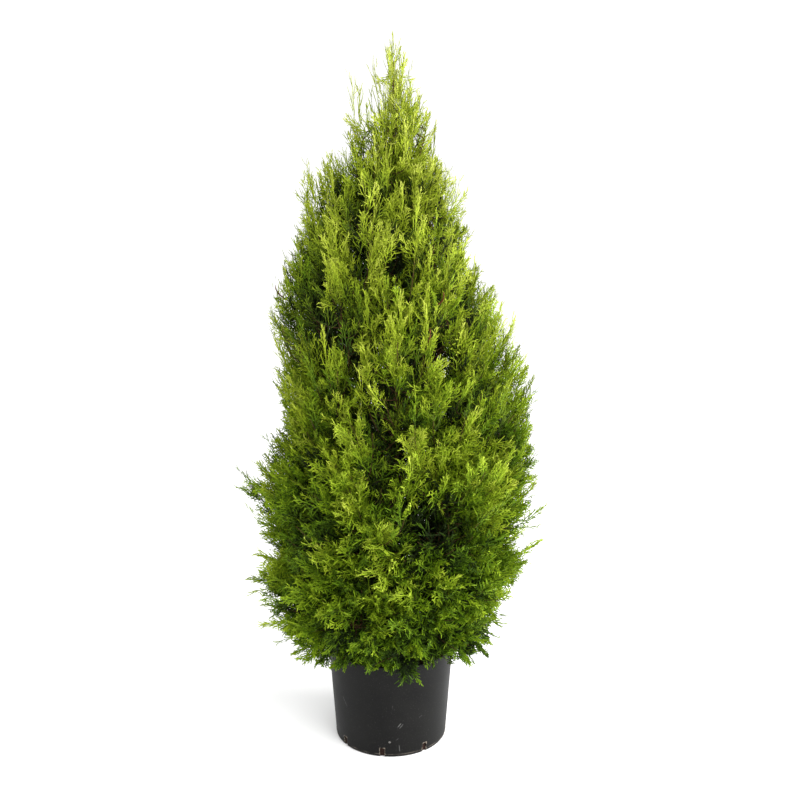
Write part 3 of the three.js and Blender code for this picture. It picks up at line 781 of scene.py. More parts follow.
# Where a place is in its plume: across it from -1 to 1, down it from 0 at the tip to 1, whether in one at
# all, and the plume's tone. Plumes lie like shingles, the lower in front, and each is a flame, half its width
# being width sqrt(down) (1.15 - 0.35 down).
def plumeAt(place):
    turn, _, radius = turnAndReach(place)
    tip, height, width, length, slant, tone = plumes.T
    down = (height - place[:, 2:]) / length
    aside = (turn[:, None] - tip + math.pi) % (2 * math.pi) - math.pi
    aside = aside * radius[:, None] - slant * down * length
    share = np.clip(down, 0.01, 1)
    across = aside / (width * np.sqrt(share) * (1.15 - 0.35 * share))
    within = (np.abs(across) < 1) & (down > 0) & (down < 1)
    chosen = np.where(within, down, 9.0).argmin(axis=1)
    row = np.arange(len(place))
    inside = within[row, chosen]
    return across[row, chosen] * inside, down[row, chosen], inside, tone[chosen]


# The way growth points at a place: level outward, turned aside by a scatter and away from its plume's middle,
# and raised by riseAt.
def growthAt(place, seed):
    turn = turnAndReach(place)[0] + np.radians(scatter(seed + 5, shootLook["asideScatter"]))
    turn = turn + np.radians(plumeLook["flare"]) * plumeAt(place)[0]
    rise = np.interp(place[:, 2], *riseAt) + scatter(seed + 9, shootLook["riseScatter"])
    return pointing(turn, np.radians(rise))


# The stem of a mass at t, drawn in where it would come near the crown's surface.
def stemAt(mass, t):
    return drawnIn(bend(mass["stem"], t), shootLook["stemShare"])


# The nearest to each place of 14 points along every stem, between these shares of its length.
def nearestJoint(place, span):
    joints = np.concatenate([stemAt(mass, np.linspace(*span, 14)) for mass in masses])
    return joints[np.linalg.norm(place[:, None] - joints[None], axis=-1).argmin(axis=1)]


# A shoot from root to end that arrives the way it grows: its middle is end - arrival |end - root| growth.
def shootTo(root, end, growth):
    length = np.linalg.norm(end - root, axis=-1)[:, None]
    return np.stack([root, end - growth * length * shootLook["arrival"], end], axis=1)


# turn about the axis in degrees, height, half width and half height of the dark hollows between the plumes:
# those the photo shows in front, and as many round the back
crownHollows = [
    (-102, 1.235, 0.016, 0.045), (-74, 1.215, 0.03, 0.034), (-81, 1.03, 0.02, 0.04),
    (-131, 1.085, 0.027, 0.082), (-106, 0.868, 0.026, 0.042), (-63, 0.897, 0.022, 0.034),
    (-80, 0.655, 0.03, 0.026), (-67, 0.645, 0.03, 0.045), (-136, 0.771, 0.02, 0.025),
    (-112, 0.51, 0.022, 0.018), (-99, 0.95, 0.014, 0.03), (-64, 1.02, 0.012, 0.05),
    (-90, 1.385, 0.014, 0.025), (-105, 1.36, 0.012, 0.04), (-72, 0.42, 0.035, 0.014),
    (-96, 0.6, 0.016, 0.014), (-116, 1.0, 0.014, 0.03), (-30, 0.98, 0.022, 0.04), (-25, 0.6, 0.028, 0.03),
    (-160, 0.62, 0.025, 0.03), (8, 1.1, 0.022, 0.04), (28, 0.72, 0.03, 0.04), (47, 1.25, 0.02, 0.04),
    (66, 0.93, 0.024, 0.04), (84, 0.56, 0.03, 0.03), (103, 1.12, 0.024, 0.045), (122, 0.8, 0.028, 0.04),
    (141, 1.3, 0.018, 0.035), (158, 1.0, 0.024, 0.04), (172, 0.7, 0.028, 0.035), (60, 0.45, 0.03, 0.02),
    (15, 0.9, 0.02, 0.04), (90, 0.8, 0.022, 0.04), (135, 0.5, 0.03, 0.025), (-138, 1.54, 0.03, 0.08),
    (138, 1.54, 0.03, 0.08), (-42, 1.53, 0.028, 0.07), (42, 1.53, 0.028, 0.07), (-170, 1.5, 0.014, 0.05),
    (-12, 1.52, 0.012, 0.04),
]
hollowDepth = 0.6  # the share of the crown's radius beyond which they are hollow


# Whether a point lies in a hollow: (aside / half width)^2 + (rise / half height)^2 < share^2, further out
# than hollowDepth.
def inHollow(place, share):
    turn, reach, radius = turnAndReach(place)
    found = np.zeros(len(place), dtype=bool)
    for hollowTurn, height, halfWidth, halfHeight in crownHollows:
        aside = ((turn - math.radians(hollowTurn) + math.pi) % (2 * math.pi) - math.pi) * radius
        rise = place[:, 2] - height
        found |= np.hypot(aside / halfWidth, rise / halfHeight) < share
    return found & (reach > hollowDepth * radius)


# Shoots climb the stem and share out its sides as the sprays of the solids do. Each curve starts on the stem
# and ends along growthAt, short of the skin by the length of its leading fan.
def planShoots():
    curves, seeds, spires = [], [], []
    for mass in masses:
        count = mass["tier"]["shoots"]
        i = np.arange(count)
        t = ((i + 1) / count) ** crownRule["crowding"]
        spread = 2 * ((crownRule["goldenShare"] * (i + 1)) % 1) - 1
        turn = math.pi / 2 + spread * math.radians(crownRule["sector"])
        seed = 1000 + 40 * mass["seed"] + i
        crownShare = shootLook["crownShare"] + scatter(seed, shootLook["crownScatter"])
        centre, skin = skinPoints(mass, t, turn, crownShare)
        room = np.maximum(shareInside(centre, skin, bordersOf(mass)), shootLook["leastRoom"])
        target = centre + (skin - centre) * room[:, None]
        # high up the last shoot goes on along the stem and stands out of the crown as a spire
        if "spire" in mass["tier"]:
            target[-1] = drawnIn(bend(mass["stem"], shootLook["spireAt"]), shootLook["spireReach"])
        growth = growthAt(target, seed)
        root = stemAt(mass, np.maximum(0, t - crownRule["climb"]))
        curves.append(shootTo(root, target - growth * shootLook["leadLength"], growth))
        seeds.append(seed)
        spires.append((i == count - 1) * mass["tier"].get("spire", 0.0))
    return np.concatenate(curves), np.concatenate(seeds), np.concatenate(spires)


# Shoots for the parts of the crown's surface that those leave bare: a golden spiral over it, and wherever no
# shoot ends near a point of it, one more goes there from the nearest stem.
def planFillers(ends):
    look = shootLook
    i = np.arange(look["lattice"])
    heights = np.linspace(look["latticeFoot"], look["latticeTop"], 400)
    z = spiralHeights(look["lattice"], heights, crownAt(heights)[0])
    place = placeAt(goldenTurn * i, z, look["crownShare"] + scatter(i + 0.3, look["crownScatter"]))
    place = place + np.stack([scatter(i + 900.5 + 7 * k, look["latticeScatter"]) for k in range(3)], axis=-1)
    seed = 90000 + i
    growth = growthAt(place, seed)
    end = place - growth * look["leadLength"]
    bare = np.linalg.norm(end[:, None] - ends[None], axis=-1).min(axis=1) > look["latticeGap"]
    bare &= ~inHollow(place, 1.0)
    end, growth, seed = end[bare], growth[bare], seed[bare]
    root = nearestJoint(end - growth * look["fillLength"], look["stemSpan"])
    return shootTo(root, end, growth), seed


# Steep shoots straight from the trunk, for the see-through part of the crown near its top.
def planTrunkTop():
    look = shootLook
    i = np.arange(look["onTrunkTop"])
    z = look["trunkTopFrom"] + (trunkSizes["top"] - look["trunkTopFrom"]) * (i + 0.5) / len(i)
    turn = goldenTurn * i + scatter(i + 44, 0.5)
    way = pointing(turn, np.radians(look["trunkTopRise"] + scatter(i + 71, 12)))
    reach = look["trunkTopLength"] * (1 + scatter(i + 17, 0.3))[:, None]
    root, bow = trunkAt(z), look["trunkTopBow"]
    return np.stack([root, root + way * [1, 1, bow] * reach * bow, root + way * reach], axis=1), 95000 + i


# turn in degrees, height and reach of the thin sprays that stand out of the crown: those along the photo's
# outline, and as many elsewhere
outlyingTips = np.array([
    [180, 1.617, 0.079], [-6, 1.62, 0.061], [-4, 1.57, 0.09], [-175, 1.479, 0.131], [170, 1.508, 0.101],
    [-178, 1.423, 0.196], [-5, 1.418, 0.152], [0, 1.35, 0.16], [180, 1.262, 0.222], [-2, 1.122, 0.293],
    [180, 0.768, 0.412], [2, 0.94, 0.36], [0, 0.58, 0.41], [180, 0.44, 0.425], [176, 0.63, 0.37],
    [-4, 0.268, 0.272], [-12, 0.24, 0.25], [-36, 0.24, 0.24], [-74, 0.256, 0.22], [-158, 0.235, 0.25],
    [-84, 0.272, 0.215], [-62, 0.27, 0.215], [-163, 0.215, 0.225], [-148, 0.22, 0.22], [176, 0.225, 0.225],
    [172, 0.38, 0.335], [-60, 1.67, 0.04], [150, 1.655, 0.036], [85, 1.57, 0.1], [130, 1.5, 0.13],
    [60, 0.5, 0.35], [95, 0.75, 0.345], [120, 0.4, 0.33], [75, 1.05, 0.3], [140, 0.9, 0.31],
    [35, 0.85, 0.33], [60, 1.3, 0.21],
])


# One shoot to each outlying tip from the nearest stem, the low ones with a short lead.
def planOutlying():
    look = shootLook
    turn, height, reach = np.radians(outlyingTips[:, 0]), outlyingTips[:, 1], outlyingTips[:, 2]
    tip = np.stack([reach * np.cos(turn), reach * np.sin(turn), height], axis=-1)
    seed = 97000 + np.arange(len(tip))
    growth = growthAt(tip, seed)
    lead = np.where(height < look["lowTip"], look["lowLeadLength"], look["outLeadLength"])
    end = tip - growth * lead[:, None]
    root = nearestJoint(end - growth * look["fillLength"], look["outSpan"])
    return shootTo(root, end, growth), seed


# Short shoots inside, evenly round the crown half way in, each from the nearest stem, and more from the
# trunk all the way up: their fans are dark sheets of painted shade.
def planInnerShoots():
    look = shootLook
    i = np.arange(look["innerLattice"])
    heights = np.linspace(look["innerFoot"], look["innerTop"], 300)
    z = spiralHeights(look["innerLattice"], heights, crownAt(heights)[0])
    ends = placeAt(goldenTurn * i, z, look["innerAt"] + scatter(i + 61, look["innerScatter"]))
    roots = nearestJoint(ends - up * look["innerDrop"], look["stemSpan"])
    k = np.arange(look["innerOnTrunk"])
    z = look["innerFoot"] + (look["innerTop"] - look["innerFoot"]) * (k + 0.5) / len(k)
    reach = np.minimum(look["innerLength"] * (1 + scatter(k + 300, 0.4)), look["innerRoom"] * crownAt(z)[0])
    way = pointing(goldenTurn * k, 0 * z) + up * look["innerLean"]
    roots = np.concatenate([roots, trunkAt(z)])
    ends = np.concatenate([ends, trunkAt(z) + way * reach[:, None]])
    middles = (roots + ends) / 2 - up * look["innerSag"] * np.linalg.norm(ends - roots, axis=-1)[:, None]
    return np.stack([roots, middles, ends], axis=1), np.concatenate([60000 + i, 80000 + k])


# Pairs of lists are heights and the value at each.
fanLook = {
    # where on its shoot a fan sits, and how many a shoot has
    "zone": ([0.3, 1.0], [0.12, 0.2]), "zoneShare": 0.85, "fewest": 5, "most": 22, "spacing": 0.0092,
    "sparse": ([0.3, 0.6, 0.8, 1.35, 1.5, 1.62], [0.85, 1.1, 1, 1, 1.4, 2.9]),
    # its lean off the shoot in degrees, from the innermost fan to the outermost
    "innerLean": 50, "outerLean": 26, "leanScatter": 8, "leadLean": 3.0, "outLean": 0.6,
    "moreLean": ([0.3, 0.9], [10, 0]), "twist": 65,
    # its length and width, with the leading fan, the outlying ones and the spires
    "innerLength": 0.068, "outerLength": 0.056, "lengthScatter": 0.2, "innerShare": 0.95,
    "heightLength": ([0.3, 0.42, 0.7, 1.2, 1.6], [0.58, 0.7, 0.9, 1.0, 1.1]),
    "leadStretch": ([0.5, 0.9], [1.05, 1.3]), "outLength": ([0.3, 0.45], [1.25, 0.75]), "spireLength": 0.8,
    "narrow": ([0.5, 0.9, 1.4, 1.55], [1.8, 1.0, 1.0, 0.7]), "leadNarrow": 0.5, "spireNarrow": 0.4,
    # how it bends the way growth points, and strays from that low down
    "bend": 0.4, "bendScatter": 0.2, "curl": 1.0, "stray": ([0.45, 0.85], [0.9, 0.0]),
    # the share of the crown's radius its tip may reach
    "reach": 0.965, "reachScatter": 0.05, "leadReach": 0.05, "spireReach": ([1.2, 1.5], [0.14, 0.35]),
    "strayShare": 0.12, "strayReach": 0.08, "innerReach": 0.84, "outReach": 2.0, "crownMargin": 0.004,
    "topMargin": 0.006, "leastLength": 0.5,
    # how many stay in a hollow, and the tone of the outlying ones
    "hollowKept": ([0.7, 0.9], [0.4, 0.12]), "innerKept": 0.35, "outTone": -0.5,
    # what keeps them clear of the pot and of the ground, with the one spray that hangs over the rim
    "potRadius": 0.168, "potTop": 0.266, "lowest": 0.19, "frontLift": 0.42,
    "hangingAt": 0.05, "hangingHalf": 0.035, "hangingShare": 0.7,
}
branchletLook = {
    "patterns": 14, "laterals": 8, "subs": 3, "innerPatterns": 6, "innerLaterals": 6, "innerSubs": 2,
    "firstAt": 0.08, "lastAt": 0.93, "innerAngle": 45, "outerAngle": 25, "angleScatter": 11,
    "placeScatter": 0.25, "weave": 0.02, "weaveTurns": 7, "kink": 0.025, "roll": 35, "lift": 0.16,
    "lateralLength": 0.5, "lateralCurve": 0.25, "lateralTaper": 0.62, "leastLateral": 0.035,
    "lateralScatter": 0.16, "footLateral": 0.55, "footGrowth": 2.2,
    "firstSub": 0.16, "subSpan": 0.78, "subPlaceScatter": 0.3, "subAngle": 40, "subScatter": 15,
    "subLift": 0.5, "subLength": 0.42, "subFull": 1.1, "subTaper": 0.55, "leastSub": 0.06,
    "subLengthScatter": 0.2, "width": 0.0019, "middleWidth": 0.92, "tipWidth": 0.0012,
    "innerWide": 1.35, "wide": ([0.4, 0.8, 1.4, 1.6], [1.4, 1.0, 1.0, 1.1]),
    # some of the fans between these heights have the open inner patterns
    "airy": ([1.42, 1.62], [0, 1]),
    # how bright the axis, the laterals and their branchlets are: painted shade at the foot of each strip,
    # painted light further out in a fan and at the tips, and speckle by chance
    "speckle": 0.5, "footShade": 0.6, "tipLight": 0.4, "zoneStep": 2.0, "middleZone": 0.64,
    "axisZones": [0.35, 0.95], "lateralZone": 0.15, "subZone": 0.3,
}


# Whether a point is outside the crown's shape.
def outsideCrown(place, share):
    _, reach, radius = turnAndReach(place)
    tooHigh = place[..., 2] > crownShape[-1, 0] - fanLook["topMargin"]
    return (reach > radius * share + fanLook["crownMargin"]) | tooHigh


# Whether a point is inside the pot or the mix, or hangs lower than the crown does: lowest + frontLift
# clip(-y), less by a bell in x where one spray hangs over the rim.
def belowCrown(place):
    look = fanLook
    x, y, z = (place[..., k] for k in range(3))
    overPot = (np.hypot(x, y) < look["potRadius"]) & (z < look["potTop"])
    bell = np.exp(-((x - look["hangingAt"]) / look["hangingHalf"]) ** 2)
    lift = look["frontLift"] * np.clip(-y, 0, 1) * (1 - look["hangingShare"] * bell)
    return overPot | (z < look["lowest"] + lift)


# Fans are spaced evenly over the outer zone of their shoot, with a little chance, the last one leading at its
# tip. Each starts at a share of the way along it, and ordered is how far out it is among its fellows.
def dealFans(shoots, shootSeed, shootSpire):
    look = fanLook
    tipZ = shoots[:, 2, 2]
    shootLength = np.linalg.norm(shoots[:, 2] - shoots[:, 0], axis=-1)
    zone = np.minimum(look["zoneShare"] * shootLength, np.interp(tipZ, *look["zone"]))
    spacing = look["spacing"] * np.interp(tipZ, *look["sparse"])
    count = np.clip(np.rint(zone / spacing), look["fewest"], look["most"]).astype(int)
    owner = np.repeat(np.arange(len(shoots)), count)
    order = np.arange(len(owner)) - np.repeat(np.cumsum(count) - count, count)
    seed = shootSeed[owner] * 17.0 + order * 3.1
    ordered = (order + 0.6 + scatter(seed, 0.3)) / count[owner]
    share = 1 - (zone / shootLength)[owner] * (1 - ordered)
    lead = order == count[owner] - 1
    share = np.where(lead, 1.0, np.clip(share, 0, 1))
    return {
        "start": bend(shoots[owner], share), "along": bendDirection(shoots[owner], share), "order": order,
        "ordered": ordered, "seed": seed, "shootSeed": shootSeed[owner], "lead": lead,
        "spire": shootSpire[owner], "outlying": np.isin(shootSeed[owner], outSeeds),
    }


# Each fan leans off its shoot by a lean that lessens outward, and they go round it by golden turns.
def fanAxes(fan):
    look = fanLook
    first, second = squareTo(fan["along"])
    turn = (goldenTurn * fan["order"] + 6.28 * seeded(fan["shootSeed"] + 3))[:, None]
    lean = look["innerLean"] + (look["outerLean"] - look["innerLean"]) * fan["ordered"]
    lean = lean + np.interp(fan["start"][:, 2], *look["moreLean"])
    lean = np.where(fan["outlying"], lean * look["outLean"], lean)
    lean = np.where(fan["lead"], look["leadLean"], lean + scatter(fan["seed"] + 2, look["leanScatter"]))
    lean = np.radians(lean)[:, None]
    aside = first * np.cos(turn) + second * np.sin(turn)
    return unit(fan["along"] * np.cos(lean) + aside * np.sin(lean)), first


# A fan's length: from inner to outer along its shoot, shorter low down, with its own for leads and spires.
def fanLengths(fan, inner):
    look = fanLook
    lead, z, spire = fan["lead"], fan["start"][:, 2], fan["spire"] > 0
    length = look["innerLength"] + (look["outerLength"] - look["innerLength"]) * fan["ordered"]
    length = length * (1 + scatter(fan["seed"] + 4, look["lengthScatter"]))
    outLength = np.where(fan["outlying"], np.interp(z, *look["outLength"]), 1)
    length = length * np.where(lead, np.interp(z, *look["leadStretch"]), outLength)
    length = length * (look["innerShare"] if inner else 1)
    length = length * np.interp(z, *look["heightLength"])
    tapered = look["spireLength"] + (1 - look["spireLength"]) * (1 - fan["ordered"])
    length = length * np.where(spire & ~lead, tapered, 1)
    return length * np.where(spire & lead, fan["spire"], 1)


# The share of the crown's radius that a fan's tip may reach: more for leads and spires, less off the plumes.
def fanLimits(fan, middle, inner):
    look = fanLook
    lead, z = fan["lead"], fan["start"][:, 2]
    across, _, inPlume, _ = plumeAt(middle)
    if inner:
        return np.full(len(z), look["innerReach"]), inPlume
    limit = look["reach"] + scatter(fan["seed"] + 8, look["reachScatter"])
    limit = limit + np.where(lead, look["leadReach"], 0)
    limit = limit + np.where(fan["spire"] > 0, np.interp(z, *look["spireReach"]), 0)
    strays = lead & (seeded(fan["seed"] + 31) < look["strayShare"])
    limit = limit + np.where(strays, look["strayReach"], 0)
    limit = np.where(fan["outlying"], look["outReach"], limit)
    relief = np.where(inPlume, -plumeLook["edgeReach"] * across ** 2, plumeLook["bareReach"] - 1)
    return limit + relief * np.interp(z, plumeLook["fade"], [1, 0]), inPlume


# A fan bends the way growth points at its tip. One that would leave the crown is shortened, by halves of
# what is left, or left out, as are most of those in a hollow and some of those off the plumes.
def planFans(shoots, shootSeed, shootSpire, inner):
    look = fanLook
    fan = dealFans(shoots, shootSeed, shootSpire)
    start, seed, lead = fan["start"], fan["seed"], fan["lead"]
    z = start[:, 2]
    axis, first = fanAxes(fan)
    length = fanLengths(fan, inner)
    narrow = np.interp(z, *look["narrow"])
    narrow = narrow * np.where(lead, np.where(fan["spire"] > 0, look["spireNarrow"], look["leadNarrow"]), 1)
    stray = np.stack([scatter(seed + k, 1) for k in (21, 22, 23)], axis=-1)
    pull = growthAt(start + axis * length[:, None], seed + 6) + stray * np.interp(z, *look["stray"])[:, None]
    bendBy = pull * (look["bend"] + scatter(seed + 7, look["bendScatter"]))[:, None]
    limit, inPlume = fanLimits(fan, start + axis * length[:, None] * 0.6, inner)
    keep, step = np.ones(len(length)), 0.5
    for _ in range(6):
        tip = start + (axis + bendBy) * (length * keep)[:, None]
        keep = np.clip(keep + np.where(outsideCrown(tip, limit) | belowCrown(tip), -step, step), 0, 1)
        step /= 2
    half = start + axis * (length * keep * 0.5)[:, None]
    kept = (keep > look["leastLength"]) & ~belowCrown(start) & ~belowCrown(half)
    stays = seeded(seed + 35) < (look["innerKept"] if inner else np.interp(z, *look["hollowKept"]))
    for share in (0.15, 0.5, 0.9):
        place = start + (axis + bendBy * share) * (length * keep * share)[:, None]
        kept &= stays | ~inHollow(place, 1.0)
    if not inner:
        kept &= inPlume | (z > plumeLook["fade"][0]) | (seeded(seed + 29) < plumeLook["bareKept"])
    # the fan's plane lies across its shoot, twisted by chance
    normal = unit(np.cross(axis, np.where(lead[:, None], first, fan["along"])))
    twist = np.radians(scatter(seed + 10, look["twist"]))[:, None]
    sideways = np.cross(normal, axis)
    made = {
        "start": start, "axis": axis, "bendBy": bendBy,
        "normal": normal * np.cos(twist) + sideways * np.sin(twist),
        "sideways": sideways * np.cos(twist) - normal * np.sin(twist),
        "length": length * keep, "narrow": narrow, "seed": seed, "shootSeed": fan["shootSeed"],
        "inner": np.full(len(seed), inner), "tone": np.where(fan["outlying"], look["outTone"], 0.0),
        "wide": np.interp(z, *branchletLook["wide"]) * (branchletLook["innerWide"] if inner else 1.0),
    }
    return {key: value[kept] for key, value in made.items()}


shootCurves, shootSeeds, shootSpires = planShoots()
fillCurves, fillSeeds = planFillers(shootCurves[:, 2])
topCurves, topSeeds = planTrunkTop()
outCurves, outSeeds = planOutlying()
innerCurves, innerSeeds = planInnerShoots()
print(len(shootCurves), "shoots,", len(fillCurves), "more on bare ground,", len(innerCurves), "inner shoots")
shootCurves = np.concatenate([shootCurves, fillCurves, topCurves, outCurves])
shootSeeds = np.concatenate([shootSeeds, fillSeeds, topSeeds, outSeeds])
outSpires = np.where(outlyingTips[:, 1] > shootLook["outSpireFrom"], shootLook["outSpire"], 0)
shootSpires = np.concatenate([shootSpires, 0.0 * fillSeeds, 0.0 * topSeeds, outSpires])
clear = (shootCurves[:, 2, 2] > shootLook["lowest"]) & ~belowCrown(shootCurves[:, 1])
shootCurves, shootSeeds, shootSpires = shootCurves[clear], shootSeeds[clear], shootSpires[clear]
outerFans = planFans(shootCurves, shootSeeds, shootSpires, False)
innerFans = planFans(innerCurves, innerSeeds, 0.0 * innerSeeds, True)
fans = {key: np.concatenate([outerFans[key], innerFans[key]]) for key in outerFans}
print(len(outerFans["length"]), "fans,", len(innerFans["length"]), "inner fans")


# One fan pattern of length 1 in (along, sideways, off the plane): alternate laterals curve forward off the
# axis, and alternate branchlets come off each. A strip is three points, its middle one bent.
def fanPattern(number, laterals, subs):
    look = branchletLook
    seed = 5000 + 311 * number
    i = np.arange(laterals)
    step = i + 0.5 + scatter(seed + i, look["placeScatter"])
    at = look["firstAt"] + (look["lastAt"] - look["firstAt"]) * step / laterals
    hand = np.where((i + number) % 2 == 0, 1.0, -1.0)
    angle = look["innerAngle"] + (look["outerAngle"] - look["innerAngle"]) * at
    angle = np.radians(angle + scatter(seed + 40 + i, look["angleScatter"])) * hand
    grown = np.minimum(1, look["footLateral"] + at * look["footGrowth"])
    reach = look["lateralLength"] * (1 - at) ** look["lateralTaper"] * grown
    reach = (reach + look["leastLateral"]) * (1 + scatter(seed + 80 + i, look["lateralScatter"]))
    lift = scatter(seed + 120 + i, look["lift"])
    weave = look["weave"] * np.sin(look["weaveTurns"] * at + number)

    def onLateral(k, s):
        kink = 4 * s * (1 - s) * look["kink"]
        forward = at[k] + reach[k] * (np.cos(angle[k]) * s + look["lateralCurve"] * s ** 2 * 0.5)
        out = weave[k] + reach[k] * np.sin(angle[k]) * (s - look["lateralCurve"] * s ** 2)
        out = out + kink * scatter(seed + 500 + k, 1)
        return np.stack([forward, out, lift[k] * s + kink * scatter(seed + 530 + k, 1)], axis=-1)

    axisAt = np.array([0, 0.25, 0.5, 0.75, 1.0])
    axisWeave = look["weave"] * np.sin(look["weaveTurns"] * axisAt + number)
    axisPoints = np.stack([axisAt, axisWeave, 0 * axisAt], axis=-1)
    strips = [axisPoints[:3], axisPoints[2:]] + [onLateral(k, np.array([0, 0.5, 1.0])) for k in i]
    zone = np.concatenate([look["axisZones"], at + look["lateralZone"]])
    k, j = [a.ravel() for a in np.meshgrid(i, np.arange(subs), indexing="ij")]
    subSeed = seed + 9 * k + j
    subStep = j + 0.5 + scatter(subSeed + 200, look["subPlaceScatter"])
    s = look["firstSub"] + look["subSpan"] * subStep / subs
    subHand = np.where((j + k) % 2 == 0, 1.0, -1.0)
    base = onLateral(k, s)
    ahead = unit(onLateral(k, s + 0.05) - base)
    subAngle = np.radians(look["subAngle"] + scatter(subSeed + 400, look["subScatter"])) * subHand
    turned = np.stack([
        ahead[:, 0] * np.cos(subAngle) - ahead[:, 1] * np.sin(subAngle),
        ahead[:, 0] * np.sin(subAngle) + ahead[:, 1] * np.cos(subAngle),
        ahead[:, 2] + scatter(subSeed + 600, look["subLift"]),
    ], axis=-1)
    subReach = look["subLength"] * reach[k] * (look["subFull"] - look["subTaper"] * s) + look["leastSub"]
    tips = base + turned * (subReach * (1 + scatter(subSeed + 800, look["subLengthScatter"])))[:, None]
    return np.array(strips), zone, np.stack([base, tips], axis=1), at[k] + look["subZone"] * s


# The direction of each strip's width in the plan of a pattern: square to the strip in the fan's plane, and
# rolled about the strip.
def stripSides(points, seed):
    along = unit(points[:, -1] - points[:, 0])
    flat = unit(np.stack([-along[:, 1], along[:, 0], 0 * along[:, 0]], axis=-1))
    roll = np.radians(scatter(seed + np.arange(len(points)) * 1.7, branchletLook["roll"]))[:, None]
    return flat * np.cos(roll) + np.cross(along, flat) * np.sin(roll)


# Every fan of a pattern at once: start + length (u axis + v sideways + w normal) + length u^2 bend, with
# w = lift - curl v^2, and half the strip's width to both sides. Corners are by fan, strip, point, side
# and xyz.
def growStrips(points, widths, sides, chosen):
    u, v, w = (points[None, ..., k] for k in range(3))
    narrow = fans["narrow"][chosen][:, None, None]
    length = fans["length"][chosen][:, None, None, None]
    curl = fanLook["curl"] * (0.4 + 0.6 * seeded(fans["seed"][chosen] + 12))[:, None, None]
    v = v * narrow
    w = w - curl * v * v
    frameOf = [fans[key][chosen][:, None, None, :] for key in ("axis", "sideways", "normal", "bendBy")]
    centre = u[..., None] * frameOf[0] + v[..., None] * frameOf[1] + w[..., None] * frameOf[2]
    centre = fans["start"][chosen][:, None, None, :] + length * (centre + (u ** 2)[..., None] * frameOf[3])
    side = sum(sides[None, :, None, k, None] * frameOf[k] for k in range(3))
    half = 0.5 * widths[None, None, :, None] * fans["wide"][chosen][:, None, None, None]
    return np.stack([centre - half * side, centre + half * side], axis=3)


# In steps of the tints, which are steps of painted light and shade. Pairs of lists are heights and the value
# at each: how bright a height is, partly the leaves' own tone and partly painted light, how much brighter it
# grows by the metre to the right as painted light from that side, and darker by the metre to both sides as
# painted shade.
lightLook = {
    "high": (
        [0.25, 0.42, 0.55, 0.72, 0.83, 1.0, 1.3, 1.42, 1.65],
        [-0.16, 0.08, 0.46, 0.6, 0.68, 0.38, 0.66, 0.88, 1.06],
    ),
    # painted shade: depth darkens the fans deep in the crown, less so near its top
    "highShare": 3.0, "foot": 1.5, "depth": 2.4, "depthFrom": 0.55, "topDepth": ([1.4, 1.6], [0, 0.95]),
    "sunny": ([0.25, 0.42, 0.55, 0.72, 1.1, 1.3], [-3.2, -1.2, 0.2, -0.3, 3.3, 4.2]),
    "edge": ([0.25, 0.42, 0.55, 0.72, 0.85, 1.1, 1.3], [-3.8, -0.6, 2.5, 5.8, 4.6, -2.0, -3.4]),
    # shoot and fan vary by chance; painted shade for the inner fans, painted light and shade on the plumes,
    # and painted shade in the hollows
    "shoot": 0.6, "fan": 0.3, "innerLeast": -0.4, "innerMore": 2.0, "plume": 5.2, "hollowShade": 1.6,
    # the most painted light a height may get
    "brightest": ([1.3, 1.5], [5.0, 5.9]),
}
# eight steps from shade to sun, greener for the low sprays and yellower for the high ones
leafTints = [
    ("lowShade", (11, 20, 3)), ("lowDark", (24, 38, 5)), ("lowDeep", (48, 70, 8)),
    ("lowLeaf", (78, 105, 12)), ("lowMid", (102, 126, 18)), ("lowYellow", (127, 149, 29)),
    ("lowBright", (148, 166, 48)), ("lowGold", (168, 180, 70)),
    ("highShade", (12, 20, 3)), ("highDark", (27, 38, 6)), ("highDeep", (54, 72, 10)),
    ("highLeaf", (84, 103, 15)), ("highMid", (109, 127, 22)), ("highYellow", (134, 150, 34)),
    ("highBright", (150, 162, 53)), ("highGold", (170, 178, 78)),
]
tintRule = {"steps": 8, "change": ([0.5, 1.25], [0, 1]), "pieceLimit": 190000}


# How bright a fan's leaves are, from 0 deep in the crown to 7 at its sunny tips: painted shade by depth, at
# the sides, in the hollows, at the feet of plumes and for the inner fans, painted light to the right and at
# plume tips, painted light and the leaves' own tone by height, and a little by chance.
def fanBrightness():
    look = lightLook
    middle = fans["start"] + fans["axis"] * fans["length"][:, None] * 0.6
    x, z = middle[:, 0], middle[:, 2]
    _, reach, radius = turnAndReach(middle)
    depth = np.maximum(np.clip(reach / radius, 0, 1), np.interp(z, *look["topDepth"]))
    level = look["foot"] + look["depth"] * (depth - look["depthFrom"]) / (1 - look["depthFrom"])
    level = level + look["highShare"] * np.interp(z, *look["high"])
    level = level + x * np.interp(z, *look["sunny"]) - np.abs(x) * np.interp(z, *look["edge"])
    level = level + scatter(fans["shootSeed"] * 1.3 + 8, look["shoot"])
    level = level + scatter(fans["seed"] + 14, look["fan"])
    across, down, inPlume, tone = plumeAt(middle)
    # painted light at the tips of the plumes, painted shade at their feet, their sides and off them
    light = plumeLook["tipLight"] - plumeLook["footShade"] * np.clip(down, 0, 1)
    light = light - plumeLook["edgeShade"] * across ** 2 + tone
    light = np.where(inPlume, light, -plumeLook["bareShade"])
    light = light * np.interp(z, plumeLook["fade"], [1, 0])
    level = level + look["plume"] * light - look["hollowShade"] * inHollow(middle, 1.1) + fans["tone"]
    level = np.minimum(level, np.interp(z, *look["brightest"]))
    # painted shade: the inner fans take only the darkest steps
    innerLevel = look["innerLeast"] + look["innerMore"] * seeded(fans["seed"] + 15)
    return np.where(fans["inner"], innerLevel, level)


